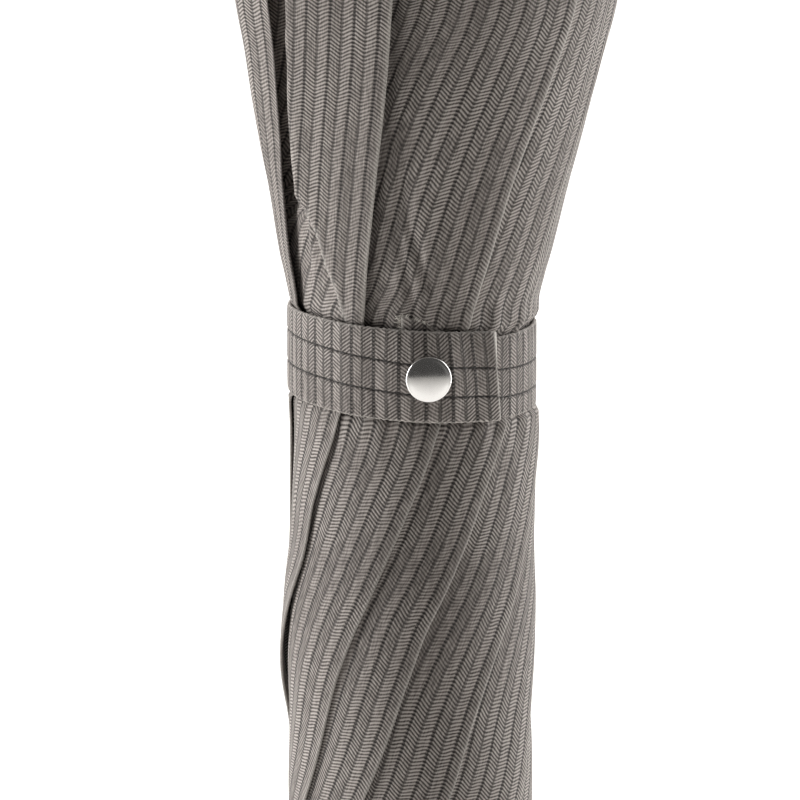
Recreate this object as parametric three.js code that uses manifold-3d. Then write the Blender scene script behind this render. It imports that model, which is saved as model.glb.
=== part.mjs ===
// A furled stick umbrella, standing on its ferrule tip with its crook handle up.
// Millimetres, +Z up. The origin is the centre of the ferrule tip's end face, and the shaft runs up Z.
// The canopy is rolled round the closed frame. A tie strap with a press stud on the -Y side holds it.
import * as THREE from "three";
import { mergeVertices } from "three/addons/utils/BufferGeometryUtils.js";
import Module from "manifold-3d";

// ---- Driving dimensions ----
const GAP = 0.3; // clearance between pieces that touch or are fixed to each other
const RIB_COUNT = 8;
const FIRST_RIB_DEG = -122; // bearing of rib 1 from +X

// Shaft and its two ends
const SHAFT_R = 5.5;
const SHAFT_WALL = 0.8;
const SHAFT_BOTTOM_Z = 34;
const TIP_R = 3.6;
const TIP_LENGTH = 15;
const FERRULE_LENGTH = 44;
const FERRULE_WALL = 2;
const SPIKE_R = 1.8;
const SPIKE_LENGTH = 8;

// Crown, where the ribs pivot
const CROWN_Z = 75; // height of the rib pivots
const NOTCH_HEIGHT = 10;
const NOTCH_HUB_WALL = 1; // between the shaft and the floors of the notch's slots
const CROWN_WIRE_R = 0.4;
const CAP_OVERHANG = 2.7; // beyond the ferrule
const CAP_HEIGHT = 6;
const ROSETTE_OVERHANG = 3; // beyond the cap
const ROSETTE_THICKNESS = 1.2;
const ROSETTE_LIFT = 1.5; // from the rosette to the notch, for the cloth between them

// Ribs and stretchers, both folded U channels
const RIB_LENGTH = 600; // pivot to tip
const RIB_WIDTH = 3.2;
const RIB_DEPTH = 2.4;
const CHANNEL_WALL = 0.6;
const RIB_START = 3; // where the channel begins beyond the pivot
const EYE_THICKNESS = 1;
const EYE_R = 1.2;
const JOINT_S = 230; // rib pivot to stretcher joint
const JOINT_DROP = 1.4; // from a closed rib's inner face in to the joint
const JOINT_PIN_R = 0.5;
const EAR_HALF_LENGTH = 3;
const STRETCHER_LENGTH = 300; // joint to runner pivot
const STRETCHER_WIDTH = 2.4;
const STRETCHER_DEPTH = 2;
const STRETCHER_CLEARANCE = 2; // from the shaft to the inner face of a closed stretcher
const STRETCHER_TAB_THICKNESS = 1.4;
const STRETCHER_TAB_R = 1.2;
const RIB_TIP_LENGTH = 14;
const RIB_TIP_R = 2.1;

// Runner and its catches
const RUNNER_RUNNING_GAP = 0.15;
const RUNNER_WALL = 1.45;
const RUNNER_RING_RIM = 1.1; // beyond the pivots
const RUNNER_RING_HEIGHT = 12;
const RUNNER_GRIP_LENGTH = 49;
const RUNNER_SLOT_CLEARANCE = 0.4; // each side of a stretcher
const CATCH_BEARING_DEG = 35.5; // between two ribs
const CATCH_LENGTH = 18;
const CATCH_THICKNESS = 1;
const CATCH_NOSE = 1; // from the end of the catch to its flat face
const CATCH_REACH = 2.5; // beyond the shaft
const CATCH_ROOT_DEPTH = 2.4; // inside the shaft's outer face
const BOTTOM_CATCH_RISE = 29; // from the closed runner's pivots up to the catch
const RIB_OPEN_DEG = 68; // how far the ribs swing out when the umbrella is opened

// Handle
const HANDLE_R = 10.5;
const HANDLE_BORE_DEPTH = 45;
const COLLAR_HEIGHT = 12;
const COLLAR_LIP = 0.7; // beyond the handle
const HANDLE_STRAIGHT = 130;
const CROOK_R = 38; // to the handle's centreline
const CROOK_END = 26;
const HANDLE_SIDES = 20;

// Rolled canopy
const CLOTH_LAYER = 3; // thickness of the rolled cloth that each half gore stands for
const RIB_COVER = 1.2; // from the ribs' backs out to the layer of cloth on them
const GORE_START = 9; // beyond the rib pivots
const OUTER_HEM_DROP = 37; // from the ribs' tips down to the hem at the folds
const INNER_HEM_DROP = 13; // and to the hem near the ribs
const TWIST_FOOT = 65; // beyond the rib pivots, where the folds begin to turn
const TWIST_DEG_PER_MM = 0.8; // how fast the wrapped folds turn below the strap
const FLARE_TWIST_DEG_PER_MM = 0.16; // and above it
const CREASE_AT_STRAP_DEG = -160; // bearing of fold 1 at the strap, from +X

// Tie strap and its press stud
const STRAP_Z = 475;
const STRAP_WIDTH = 22;
const STRAP_THICKNESS = 1.1;
const ROLL_AT_STRAP_R = 28;
const STRAP_CLEARANCE = 1.3; // from the roll to the strap's inner face, for the stud's back plate
const STUD_STACK = 2; // from the root layer's outer face to the tab's inner face, at the stud
const STRAP_TILT_DEG = 3.6;
const STRAP_ROOT_DEG = -95;
const STRAP_RISE_DEG = 190; // where the band begins to climb over its own root
const TAB_START_DEG = -112;
const TAB_END_DEG = -51;
const STUD_DEG = -83.3;
const SNAP_CAP_R = 5.5;
const SNAP_CAP_HEIGHT = 1.7;
const SNAP_PLATE_R = 4;
const SNAP_PLATE_THICKNESS = 0.4;
const SNAP_SHANK_R = 1.1;
const SNAP_HOLE_CLEARANCE = 0.4;
const SOCKET_R = 4.6;
const SOCKET_THICKNESS = 0.75;
const STUD_R = 1.9;

// Outer radius of the roll at heights above or below the strap, from the crown to the hem
const ROLL_PROFILE = [
  [-391, 17],
  [-365, 18.4],
  [-315, 22],
  [-255, 26],
  [-185, 29.6],
  [-125, 31],
  [-75, 31.2],
  [-35, 30.6],
  [-STRAP_WIDTH / 2 - 3, ROLL_AT_STRAP_R],
  [STRAP_WIDTH / 2 + 3, ROLL_AT_STRAP_R],
  [31, 33],
  [55, 38.2],
  [92, 46.7],
  [125, 51.8],
  [163, 55],
];

// ---- Sizes that follow from them ----
const boreR = SHAFT_R + GAP; // fixed fittings on the shaft
const slotFloorR = boreR + NOTCH_HUB_WALL;
const ribPivotR = slotFloorR + EYE_R;
const notchR = ribPivotR + 2;
const ribSlotWidth = EYE_THICKNESS + 2 * GAP;
const ribFaceR = notchR + 0.4; // inner face of a closed rib
const jointR = ribFaceR - JOINT_DROP;
const stretcherFaceR = SHAFT_R + STRETCHER_CLEARANCE; // inner face of a closed stretcher
const runnerPivotR = stretcherFaceR + 0.9;
const runnerBoreR = SHAFT_R + RUNNER_RUNNING_GAP;
const runnerSleeveR = runnerBoreR + RUNNER_WALL;
const runnerRingR = runnerPivotR + RUNNER_RING_RIM;
const runnerSlotWidth = STRETCHER_WIDTH + 2 * RUNNER_SLOT_CLEARANCE;
const ferruleTopR = boreR + FERRULE_WALL;
const capR = ferruleTopR + CAP_OVERHANG;
const rosetteR = capR + ROSETTE_OVERHANG;
const innerLayerR = ribFaceR + RIB_DEPTH + RIB_COVER; // inner face of the layer on the ribs
const ribTopZ = CROWN_Z + RIB_LENGTH;
const goreBottomZ = CROWN_Z + GORE_START;
const outerHemZ = ribTopZ - OUTER_HEM_DROP;
const innerHemZ = ribTopZ - INNER_HEM_DROP;
const strapR = ROLL_AT_STRAP_R + STRAP_CLEARANCE; // inner face
const strapLift = STRAP_THICKNESS + STUD_STACK; // how far the tab stands off the root's place
const snapHoleR = SNAP_SHANK_R + SNAP_HOLE_CLEARANCE;
const socketBoreR = STUD_R + GAP;

/** Height of the runner's pivots when the ribs stand out at an angle from the shaft. */
function runnerPivotAt(degrees) {
  const sin = Math.sin(THREE.MathUtils.degToRad(degrees));
  const cos = Math.cos(THREE.MathUtils.degToRad(degrees));
  const offset = jointR - ribPivotR;
  const outR = ribPivotR + offset * cos + JOINT_S * sin;
  const outZ = CROWN_Z + JOINT_S * cos - offset * sin;
  return outZ + Math.sqrt(STRETCHER_LENGTH ** 2 - (outR - runnerPivotR) ** 2);
}

const runnerPivotZ = runnerPivotAt(0);
const runnerTopReach = RUNNER_RING_HEIGHT / 2 + RUNNER_GRIP_LENGTH; // runner's pivots to its upper end
const topCatchZ = runnerPivotAt(RIB_OPEN_DEG) + runnerTopReach - CATCH_NOSE + GAP;
const collarR = HANDLE_R + COLLAR_LIP;
const bottomCatchZ = runnerPivotZ + BOTTOM_CATCH_RISE;
const collarZ = Math.max(ribTopZ + GAP + RIB_TIP_LENGTH, runnerPivotZ + runnerTopReach) + 1.7;
const handleFootZ = collarZ + COLLAR_HEIGHT + GAP;
const shaftTopZ = handleFootZ + HANDLE_BORE_DEPTH - GAP;
const crookZ = handleFootZ + HANDLE_STRAIGHT; // centre of the crook's bend

// ---- Materials ----
function material(color, roughness, metalness) {
  return new THREE.MeshStandardMaterial({ color, roughness, metalness });
}

const steel = material(0x8e8f92, 0.35, 1);
const blackSteel = material(0x1d1d1f, 0.45, 0.6);
const nickel = material(0xd9d5cf, 0.2, 1);
const cloth = material(0x6e6762, 0.75, 0);
const chestnut = material(0x6b3f22, 0.4, 0);
const blackPlastic = material(0x161616, 0.4, 0);

// ---- Helpers ----
const wasm = await Module();
wasm.setup();

/** A closed geometry as a manifold-3d solid. */
function solid(geometry) {
  const bare = geometry.index ? geometry.toNonIndexed() : geometry.clone();
  bare.deleteAttribute("normal");
  bare.deleteAttribute("uv");
  const merged = mergeVertices(bare, 1e-4);
  return new wasm.Manifold(
    new wasm.Mesh({
      numProp: 3,
      vertProperties: merged.attributes.position.array,
      triVerts: new Uint32Array(merged.index.array),
    }),
  );
}

/** A manifold-3d solid as a geometry. */
function geometryOf(made) {
  const mesh = made.getMesh();
  const geometry = new THREE.BufferGeometry();
  geometry.setAttribute("position", new THREE.BufferAttribute(Float32Array.from(mesh.vertProperties), 3));
  geometry.setIndex(new THREE.BufferAttribute(Uint32Array.from(mesh.triVerts), 1));
  return geometry;
}

/** Several closed geometries as one. */
function join(...geometries) {
  return geometryOf(geometries.map(solid).reduce((a, b) => a.add(b)));
}

/** A closed geometry with others taken out of it. */
function cut(geometry, ...tools) {
  return geometryOf(tools.map(solid).reduce((a, b) => a.subtract(b), solid(geometry)));
}

const rad = THREE.MathUtils.degToRad;

/** A solid of revolution about Z from [radius, z] points. */
function lathe(points, sides = 24) {
  const profile = points.map(([r, z]) => new THREE.Vector2(r, z));
  return new THREE.LatheGeometry(profile, sides).rotateX(Math.PI / 2);
}

/** A box between two corners. */
function box(low, high) {
  const size = high.map((v, i) => v - low[i]);
  const middle = high.map((v, i) => (v + low[i]) / 2);
  return new THREE.BoxGeometry(...size).translate(...middle);
}

/** A ring or tube about Z between two radii and two heights. */
function ring(innerR, outerR, lowZ, highZ, sides = 24) {
  const profile = [
    [innerR, lowZ],
    [outerR, lowZ],
    [outerR, highZ],
    [innerR, highZ],
    [innerR, lowZ],
  ];
  return lathe(profile, sides);
}

/** A round bar about Z. */
function disc(r, lowZ, highZ, sides = 20) {
  const profile = [
    [0, lowZ],
    [r, lowZ],
    [r, highZ],
    [0, highZ],
  ];
  return lathe(profile, sides);
}

/** A round pin along Y at a place in the X-Z plane. */
function crossPin(r, x, z, halfLength, sides = 12) {
  return new THREE.CylinderGeometry(r, r, 2 * halfLength, sides).translate(x, 0, z);
}

/** The same geometry at every rib's bearing. */
function atEachRib(makeGeometry) {
  return ribBearings.map((bearing) => makeGeometry().rotateZ(bearing));
}

const ribBearings = Array.from({ length: RIB_COUNT }, (_, i) => rad(FIRST_RIB_DEG + (i * 360) / RIB_COUNT));

const umbrella = new THREE.Group();
umbrella.name = "umbrella";

/** Adds a named piece to a group. */
function add(name, geometry, look, group = umbrella) {
  const mesh = new THREE.Mesh(geometry, look);
  mesh.name = name;
  group.add(mesh);
  return mesh;
}

// ---- Shaft, ferrule and tip ----
/** A slot through the shaft's wall for a leaf catch. */
function catchSlot(lowZ) {
  const half = CATCH_THICKNESS / 2 + GAP;
  const low = [SHAFT_R - CATCH_ROOT_DEPTH - 2, -half, lowZ - 1];
  const high = [SHAFT_R + 1, half, lowZ + CATCH_LENGTH + 1];
  return box(low, high).rotateZ(rad(CATCH_BEARING_DEG));
}

function makeShaft() {
  const tube = ring(SHAFT_R - SHAFT_WALL, SHAFT_R, SHAFT_BOTTOM_Z, shaftTopZ, 20);
  return cut(tube, catchSlot(topCatchZ), catchSlot(bottomCatchZ));
}

function makeFerrule() {
  const low = TIP_LENGTH + GAP;
  const high = TIP_LENGTH + FERRULE_LENGTH;
  const floor = SHAFT_BOTTOM_Z - GAP;
  const profile = [
    [0, low - SPIKE_LENGTH],
    [SPIKE_R, low - SPIKE_LENGTH],
    [SPIKE_R, low],
    [TIP_R + 0.6, low],
    [TIP_R + 0.9, low + 2],
    [ferruleTopR - 0.6, floor - 2],
    [ferruleTopR, floor + 2],
    [ferruleTopR, high - 2],
    [ferruleTopR - 0.6, high],
    [boreR, high],
    [boreR, floor],
    [0, floor],
  ];
  return lathe(profile);
}

function makeFerruleTip() {
  const bore = SPIKE_R + GAP;
  const boreFloor = TIP_LENGTH - SPIKE_LENGTH - GAP;
  const profile = [
    [0, 0],
    [TIP_R - 0.6, 0],
    [TIP_R, 0.8],
    [TIP_R + 0.3, TIP_LENGTH - 1],
    [TIP_R, TIP_LENGTH],
    [bore, TIP_LENGTH],
    [bore, boreFloor],
    [0, boreFloor],
  ];
  return lathe(profile);
}

// ---- Crown ----
const rosetteZ = CROWN_Z - NOTCH_HEIGHT / 2 - GAP - ROSETTE_THICKNESS - ROSETTE_LIFT;

function makeCrownCap() {
  const high = rosetteZ - GAP;
  const low = high - CAP_HEIGHT;
  const profile = [
    [ferruleTopR + GAP, low],
    [ferruleTopR + 1, low],
    [capR - 0.8, low + CAP_HEIGHT * 0.45],
    [capR, high - 1],
    [capR, high],
    [boreR, high],
    [boreR, high - 1],
    [ferruleTopR + GAP, high - 1.6],
    [ferruleTopR + GAP, low],
  ];
  return lathe(profile);
}

function makeNotch() {
  const low = CROWN_Z - NOTCH_HEIGHT / 2;
  const high = CROWN_Z + NOTCH_HEIGHT / 2;
  const groove = CROWN_WIRE_R + GAP;
  const profile = [
    [boreR, low],
    [notchR, low],
    [notchR, CROWN_Z - groove],
    [ribPivotR - groove, CROWN_Z - groove],
    [ribPivotR - groove, CROWN_Z + groove],
    [notchR, CROWN_Z + groove],
    [notchR, high],
    [boreR, high],
    [boreR, low],
  ];
  const half = ribSlotWidth / 2;
  const slots = atEachRib(() => box([slotFloorR, -half, low - 1], [notchR + 1, half, high + 1]));
  return cut(lathe(profile, 32), ...slots);
}

function makeCrownWire() {
  return new THREE.TorusGeometry(ribPivotR, CROWN_WIRE_R, 6, 32).translate(0, 0, CROWN_Z);
}

// ---- Ribs, their tips and the stretchers, each made at bearing 0 ----
/** A U channel along Z with its open side towards the shaft. */
function channel(faceR, depth, width, lowZ, highZ) {
  const half = width / 2;
  const inner = half - CHANNEL_WALL;
  const web = faceR + depth - CHANNEL_WALL;
  const outline = [
    [faceR, -half],
    [faceR + depth, -half],
    [faceR + depth, half],
    [faceR, half],
    [faceR, inner],
    [web, inner],
    [web, -inner],
    [faceR, -inner],
  ];
  const shape = new THREE.Shape(outline.map(([x, y]) => new THREE.Vector2(x, y)));
  const bar = new THREE.ExtrudeGeometry(shape, { depth: highZ - lowZ, bevelEnabled: false });
  return bar.translate(0, 0, lowZ);
}

function makeRib() {
  const jointZ = CROWN_Z + JOINT_S;
  const webR = ribFaceR + RIB_DEPTH - CHANNEL_WALL / 2;
  const halfEye = EYE_THICKNESS / 2;
  const half = RIB_WIDTH / 2;
  const innerHalf = half - CHANNEL_WALL;
  const bar = channel(ribFaceR, RIB_DEPTH, RIB_WIDTH, CROWN_Z + RIB_START, CROWN_Z + RIB_LENGTH);
  const eyeRound = crossPin(EYE_R, ribPivotR, CROWN_Z, halfEye);
  const neckLow = [ribPivotR - 0.4, -halfEye, CROWN_Z];
  const neck = box(neckLow, [webR, halfEye, CROWN_Z + RIB_START + 5]);
  const ears = [-1, 1].map((side) => {
    const sides = [side * innerHalf, side * half].sort((a, b) => a - b);
    const low = [jointR - 1, sides[0], jointZ - EAR_HALF_LENGTH];
    const high = [ribFaceR + 1, sides[1], jointZ + EAR_HALF_LENGTH];
    return box(low, high);
  });
  const pin = crossPin(JOINT_PIN_R, jointR, jointZ, half + 0.2);
  const eyeHole = crossPin(CROWN_WIRE_R + GAP, ribPivotR, CROWN_Z, 2);
  return cut(join(bar, neck, eyeRound, ...ears, pin), eyeHole);
}

function makeRibTip() {
  const middle = ribFaceR + RIB_DEPTH / 2;
  const top = CROWN_Z + RIB_LENGTH + GAP;
  const profile = [
    [0, top - 0.01],
    [RIB_TIP_R * 0.75, top],
    [RIB_TIP_R, top + 2],
    [RIB_TIP_R * 0.7, top + 5],
    [RIB_TIP_R * 0.7, top + RIB_TIP_LENGTH * 0.55],
    [RIB_TIP_R, top + RIB_TIP_LENGTH * 0.75],
    [RIB_TIP_R * 0.7, top + RIB_TIP_LENGTH * 0.94],
    [0, top + RIB_TIP_LENGTH],
  ];
  return lathe(profile, 10).translate(middle, 0, 0);
}

function makeStretcher() {
  const jointZ = CROWN_Z + JOINT_S;
  const half = STRETCHER_TAB_THICKNESS / 2;
  const bar = channel(stretcherFaceR, STRETCHER_DEPTH, STRETCHER_WIDTH, jointZ + 4, runnerPivotZ - 4);
  const webR = stretcherFaceR + STRETCHER_DEPTH;
  const lowTab = box([jointR - 0.9, -half, jointZ], [webR - 0.1, half, jointZ + 8]);
  const highTab = box([runnerPivotR - 0.8, -half, runnerPivotZ - 8], [webR - 0.1, half, runnerPivotZ]);
  const lowEye = crossPin(STRETCHER_TAB_R, jointR, jointZ, half);
  const highEye = crossPin(STRETCHER_TAB_R, runnerPivotR, runnerPivotZ, half);
  const lowHole = crossPin(JOINT_PIN_R + GAP / 2, jointR, jointZ, 2);
  const highHole = crossPin(JOINT_PIN_R, runnerPivotR, runnerPivotZ, 2);
  return cut(join(bar, lowTab, highTab, lowEye, highEye), lowHole, highHole);
}

// ---- Runner and catches ----
function makeRunner() {
  const low = runnerPivotZ - RUNNER_RING_HEIGHT / 2;
  const ringTop = runnerPivotZ + RUNNER_RING_HEIGHT / 2;
  const high = runnerPivotZ + runnerTopReach;
  const profile = [
    [runnerBoreR, low],
    [runnerRingR, low],
    [runnerRingR, ringTop],
    [runnerSleeveR, ringTop + 1],
    [runnerSleeveR, high - 6],
    [runnerRingR - 0.6, high - 4],
    [runnerRingR - 0.6, high - 1],
    [runnerRingR - 1.4, high],
    [runnerBoreR, high],
    [runnerBoreR, low],
  ];
  const half = runnerSlotWidth / 2;
  const floor = runnerPivotR - STRETCHER_TAB_R - GAP / 2;
  const slots = atEachRib(() => box([floor, -half, low - 1], [runnerRingR + 1, half, ringTop + 0.5]));
  const windowHalf = CATCH_THICKNESS / 2 + 2 * GAP;
  const windowLow = [SHAFT_R - 1, -windowHalf, bottomCatchZ - 2];
  const window = box(windowLow, [runnerRingR + 1, windowHalf, bottomCatchZ + CATCH_LENGTH + 2]);
  return cut(lathe(profile, 24), ...slots, window.rotateZ(rad(CATCH_BEARING_DEG)));
}

/** A leaf catch: flat at one end to hold the runner, and sloping to the other so that it can pass. */
function makeCatch(lowZ, flatAtTop) {
  const outline = [
    [SHAFT_R - CATCH_ROOT_DEPTH, 0],
    [SHAFT_R - 0.3, 0],
    [SHAFT_R + CATCH_REACH, CATCH_LENGTH - 4],
    [SHAFT_R + CATCH_REACH - 0.4, CATCH_LENGTH - CATCH_NOSE],
    [SHAFT_R - CATCH_ROOT_DEPTH, CATCH_LENGTH - CATCH_NOSE],
  ];
  const turned = flatAtTop ? outline : outline.map(([r, z]) => [r, CATCH_LENGTH - z]).reverse();
  const shape = new THREE.Shape(turned.map(([r, z]) => new THREE.Vector2(r, z)));
  const blade = new THREE.ExtrudeGeometry(shape, { depth: CATCH_THICKNESS, bevelEnabled: false });
  blade.rotateX(Math.PI / 2).translate(0, CATCH_THICKNESS / 2, lowZ);
  return blade.rotateZ(rad(CATCH_BEARING_DEG));
}

// ---- Handle ----
function makeCollar() {
  const profile = [
    [boreR, collarZ],
    [collarR - 1.5, collarZ],
    [collarR, collarZ + 1.5],
    [collarR, collarZ + COLLAR_HEIGHT - 1],
    [collarR - 0.6, collarZ + COLLAR_HEIGHT],
    [boreR, collarZ + COLLAR_HEIGHT],
    [boreR, collarZ],
  ];
  return lathe(profile);
}

function makeHandle() {
  const route = new THREE.CurvePath();
  const up = new THREE.Vector3(0, 0, crookZ);
  const over = new THREE.Vector3(2 * CROOK_R, 0, crookZ);
  route.add(new THREE.LineCurve3(new THREE.Vector3(0, 0, handleFootZ), up));
  route.add(new Crook());
  route.add(new THREE.LineCurve3(over, over.clone().setZ(crookZ - CROOK_END)));
  const section = new THREE.Shape();
  section.absarc(0, 0, HANDLE_R, 0, 2 * Math.PI);
  const options = { steps: 36, curveSegments: HANDLE_SIDES / 2, bevelEnabled: false, extrudePath: route };
  const body = new THREE.ExtrudeGeometry(section, options);
  const nose = new THREE.SphereGeometry(HANDLE_R * 0.98, HANDLE_SIDES, 6);
  nose.rotateX(Math.PI / 2).scale(1, 1, 0.6).translate(2 * CROOK_R, 0, crookZ - CROOK_END);
  const bore = disc(boreR, handleFootZ - 1, shaftTopZ + GAP);
  return cut(join(body, nose), bore);
}

/** The half circle of the crook, from the shank over towards +X. */
class Crook extends THREE.Curve {
  getPoint(t, target = new THREE.Vector3()) {
    const angle = Math.PI * (1 - t);
    return target.set(CROOK_R + CROOK_R * Math.cos(angle), 0, crookZ + CROOK_R * Math.sin(angle));
  }
}

// ---- Rolled canopy ----
/** The roll's outer radius at a height, straight between the profile's points and level beyond them. */
function rollR(z) {
  const above = ROLL_PROFILE.findIndex(([rise]) => STRAP_Z + rise >= z);
  if (above === 0) return ROLL_PROFILE[0][1];
  if (above < 0) return ROLL_PROFILE.at(-1)[1];
  const [z0, r0] = ROLL_PROFILE[above - 1];
  const [z1, r1] = ROLL_PROFILE[above];
  return r0 + ((r1 - r0) * (z - STRAP_Z - z0)) / (z1 - z0);
}

/** How far the folds have turned at a height, measured from where they stand at the strap. */
function twist(z) {
  const below = Math.min(0, Math.max(z, CROWN_Z + TWIST_FOOT) - STRAP_Z);
  return rad(below * TWIST_DEG_PER_MM + Math.max(0, z - STRAP_Z) * FLARE_TWIST_DEG_PER_MM);
}

/** A curved strip about Z: at each height its edges lie at two bearings and its faces at two radii. */
function strip(heights, across, edges, radii) {
  const points = [];
  for (const z of heights) {
    const [from, to] = edges(z);
    const [inner, outer] = radii(z);
    const arc = Array.from({ length: across + 1 }, (_, k) => from + ((to - from) * k) / across);
    for (const a of arc) points.push(outer * Math.cos(a), outer * Math.sin(a), z);
    for (const a of arc.reverse()) points.push(inner * Math.cos(a), inner * Math.sin(a), z);
  }
  const round = 2 * (across + 1);
  const faces = [];
  const quad = (a, b, c, d) => faces.push(a, b, c, a, c, d);
  for (let j = 0; j < heights.length - 1; j++)
    for (let k = 0; k < round; k++) {
      const next = (k + 1) % round;
      quad(j * round + k, j * round + next, (j + 1) * round + next, (j + 1) * round + k);
    }
  const top = (heights.length - 1) * round;
  for (let k = 0; k < across; k++) {
    quad(round - 1 - k, round - 2 - k, k + 1, k);
    quad(top + k, top + k + 1, top + round - 2 - k, top + round - 1 - k);
  }
  const geometry = new THREE.BufferGeometry();
  geometry.setAttribute("position", new THREE.Float32BufferAttribute(points, 3));
  geometry.setIndex(faces);
  return geometry;
}

const span = (2 * Math.PI) / RIB_COUNT;

/** The wrapped half of a gore: what shows between its neighbour's fold and its own. */
function makeOuterHalf(i) {
  const profileZ = ROLL_PROFILE.map(([rise]) => STRAP_Z + rise);
  const between = profileZ.filter((z) => z > goreBottomZ + 1 && z < outerHemZ - 1);
  const heights = [goreBottomZ, ...between, outerHemZ];
  const edges = (z) => {
    const crease = rad(CREASE_AT_STRAP_DEG + (i * 360) / RIB_COUNT) + twist(z);
    const margin = GAP / rollR(z) / 2;
    return [crease - span + margin, crease - margin];
  };
  return strip(heights, 4, edges, (z) => [rollR(z) - CLOTH_LAYER, rollR(z)]);
}

/** The half of a gore that lies under the wraps, on the ribs at its two seams. */
function makeInnerHalf(i) {
  const outer = (z) => Math.min(innerLayerR + CLOTH_LAYER, rollR(z) - CLOTH_LAYER - GAP);
  const foot = goreBottomZ + 40;
  const heights = Array.from({ length: 5 }, (_, k) => foot + ((innerHemZ - foot) * k) / 4);
  const edges = () => {
    const margin = GAP / innerLayerR / 2;
    return [ribBearings[i] + margin, ribBearings[i] + span - margin];
  };
  return strip(heights, 3, edges, (z) => [innerLayerR, Math.max(innerLayerR + 1, outer(z))]);
}

// ---- Tie strap and press stud ----
/** Radius of the strap's inner face at a bearing along the band, which climbs over its own root. */
function bandR(degrees) {
  const climb = THREE.MathUtils.smoothstep(degrees, STRAP_RISE_DEG, TAB_START_DEG + 360);
  return strapR + strapLift * climb;
}

/** A flat-woven band standing on edge, from one bearing to another, about the strap's own centre. */
function band(fromDeg, toDeg, segments) {
  const outline = [];
  const step = (toDeg - fromDeg) / segments;
  const put = (degrees, extra) => {
    const r = bandR(degrees) + extra;
    outline.push(new THREE.Vector2(r * Math.cos(rad(degrees)), r * Math.sin(rad(degrees))));
  };
  for (let k = 0; k <= segments; k++) put(fromDeg + k * step, STRAP_THICKNESS);
  for (let k = segments; k >= 0; k--) put(fromDeg + k * step, 0);
  const options = { depth: STRAP_WIDTH, bevelEnabled: false };
  return new THREE.ExtrudeGeometry(new THREE.Shape(outline), options).translate(0, 0, -STRAP_WIDTH / 2);
}

/** Turns a fitting made on Z, as if Z were the radius, to point out of the strap at the stud's bearing. */
function atStud(geometry) {
  return geometry.rotateY(Math.PI / 2).rotateZ(rad(STUD_DEG));
}

/** How far a curved face of a radius falls away over half the width of a flat plate lying against it. */
const sag = (r, half) => r - Math.sqrt(r * r - half * half);

const rootOutR = strapR + STRAP_THICKNESS; // outer face of the strap's root layer
const tabInR = strapR + strapLift; // inner face of the tab
const tabOutR = tabInR + STRAP_THICKNESS;

function makeStrapLoop() {
  const loop = band(STRAP_ROOT_DEG, TAB_START_DEG + 360 - 0.8, 44);
  return cut(loop, atStud(disc(snapHoleR, strapR - 2, rootOutR + 1)));
}

function makeStrapTab() {
  const tab = band(TAB_START_DEG + 360, TAB_END_DEG + 360, 10);
  return cut(tab, atStud(disc(snapHoleR, tabInR - 1, tabOutR + 1)));
}

function makeSnapPost() {
  const plate = strapR - sag(strapR, SNAP_PLATE_R) - GAP / 2 - SNAP_PLATE_THICKNESS;
  const profile = [
    [0, plate],
    [SNAP_PLATE_R, plate],
    [SNAP_PLATE_R, plate + SNAP_PLATE_THICKNESS],
    [SNAP_SHANK_R, plate + SNAP_PLATE_THICKNESS],
    [SNAP_SHANK_R, rootOutR + 0.6],
    [0, rootOutR + 0.6],
  ];
  return atStud(lathe(profile, 20));
}

function makeSnapStud() {
  const base = rootOutR + 0.2;
  const top = tabInR - 0.4;
  const profile = [
    [SNAP_SHANK_R + GAP, base],
    [SNAP_PLATE_R - 0.4, base],
    [SNAP_PLATE_R - 0.4, base + 0.3],
    [STUD_R - 0.2, base + 0.4],
    [STUD_R, top - 0.4],
    [STUD_R - 0.3, top],
    [SNAP_SHANK_R + GAP, top],
    [SNAP_SHANK_R + GAP, base],
  ];
  return atStud(lathe(profile, 20));
}

function makeSnapSocket() {
  const top = tabInR - sag(tabInR, SOCKET_R) - GAP / 2;
  return atStud(ring(socketBoreR, SOCKET_R, top - SOCKET_THICKNESS, top, 20));
}

function makeSnapCap() {
  const foot = tabOutR + 0.2;
  const profile = [
    [0, tabInR + 0.1],
    [SNAP_SHANK_R, tabInR + 0.1],
    [SNAP_SHANK_R, foot],
    [SNAP_CAP_R - 0.3, foot],
    [SNAP_CAP_R, foot + 0.35],
    [SNAP_CAP_R - 0.15, foot + 0.75],
    [SNAP_CAP_R - 0.8, foot + 1.15],
    [SNAP_CAP_R * 0.6, foot + 1.5],
    [SNAP_CAP_R * 0.3, foot + 1.65],
    [0, foot + SNAP_CAP_HEIGHT],
  ];
  return atStud(lathe(profile, 28));
}

// ---- Assembly ----
add("shaft", makeShaft(), blackSteel);
add("ferrule", makeFerrule(), nickel);
add("ferrule_tip", makeFerruleTip(), blackPlastic);
add("crown_cap", makeCrownCap(), nickel);
add("crown_rosette", ring(boreR, rosetteR, rosetteZ, rosetteZ + ROSETTE_THICKNESS), cloth);
add("crown_notch", makeNotch(), blackPlastic);
add("crown_wire", makeCrownWire(), steel);
add("runner", makeRunner(), blackPlastic);
add("bottom_catch", makeCatch(bottomCatchZ, true), steel);
add("top_catch", makeCatch(topCatchZ, false), steel);
add("handle_collar", makeCollar(), nickel);
add("handle", makeHandle(), chestnut);

for (let i = 0; i < RIB_COUNT; i++) {
  const side = new THREE.Group();
  side.rotation.z = ribBearings[i];
  umbrella.add(side);
  add(`rib_${i + 1}`, makeRib(), blackSteel, side);
  add(`rib_tip_${i + 1}`, makeRibTip(), nickel, side);
  add(`stretcher_${i + 1}`, makeStretcher(), blackSteel, side);
  add(`gore_${i + 1}_outer`, makeOuterHalf(i), cloth);
  add(`gore_${i + 1}_inner`, makeInnerHalf(i), cloth);
}

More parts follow.
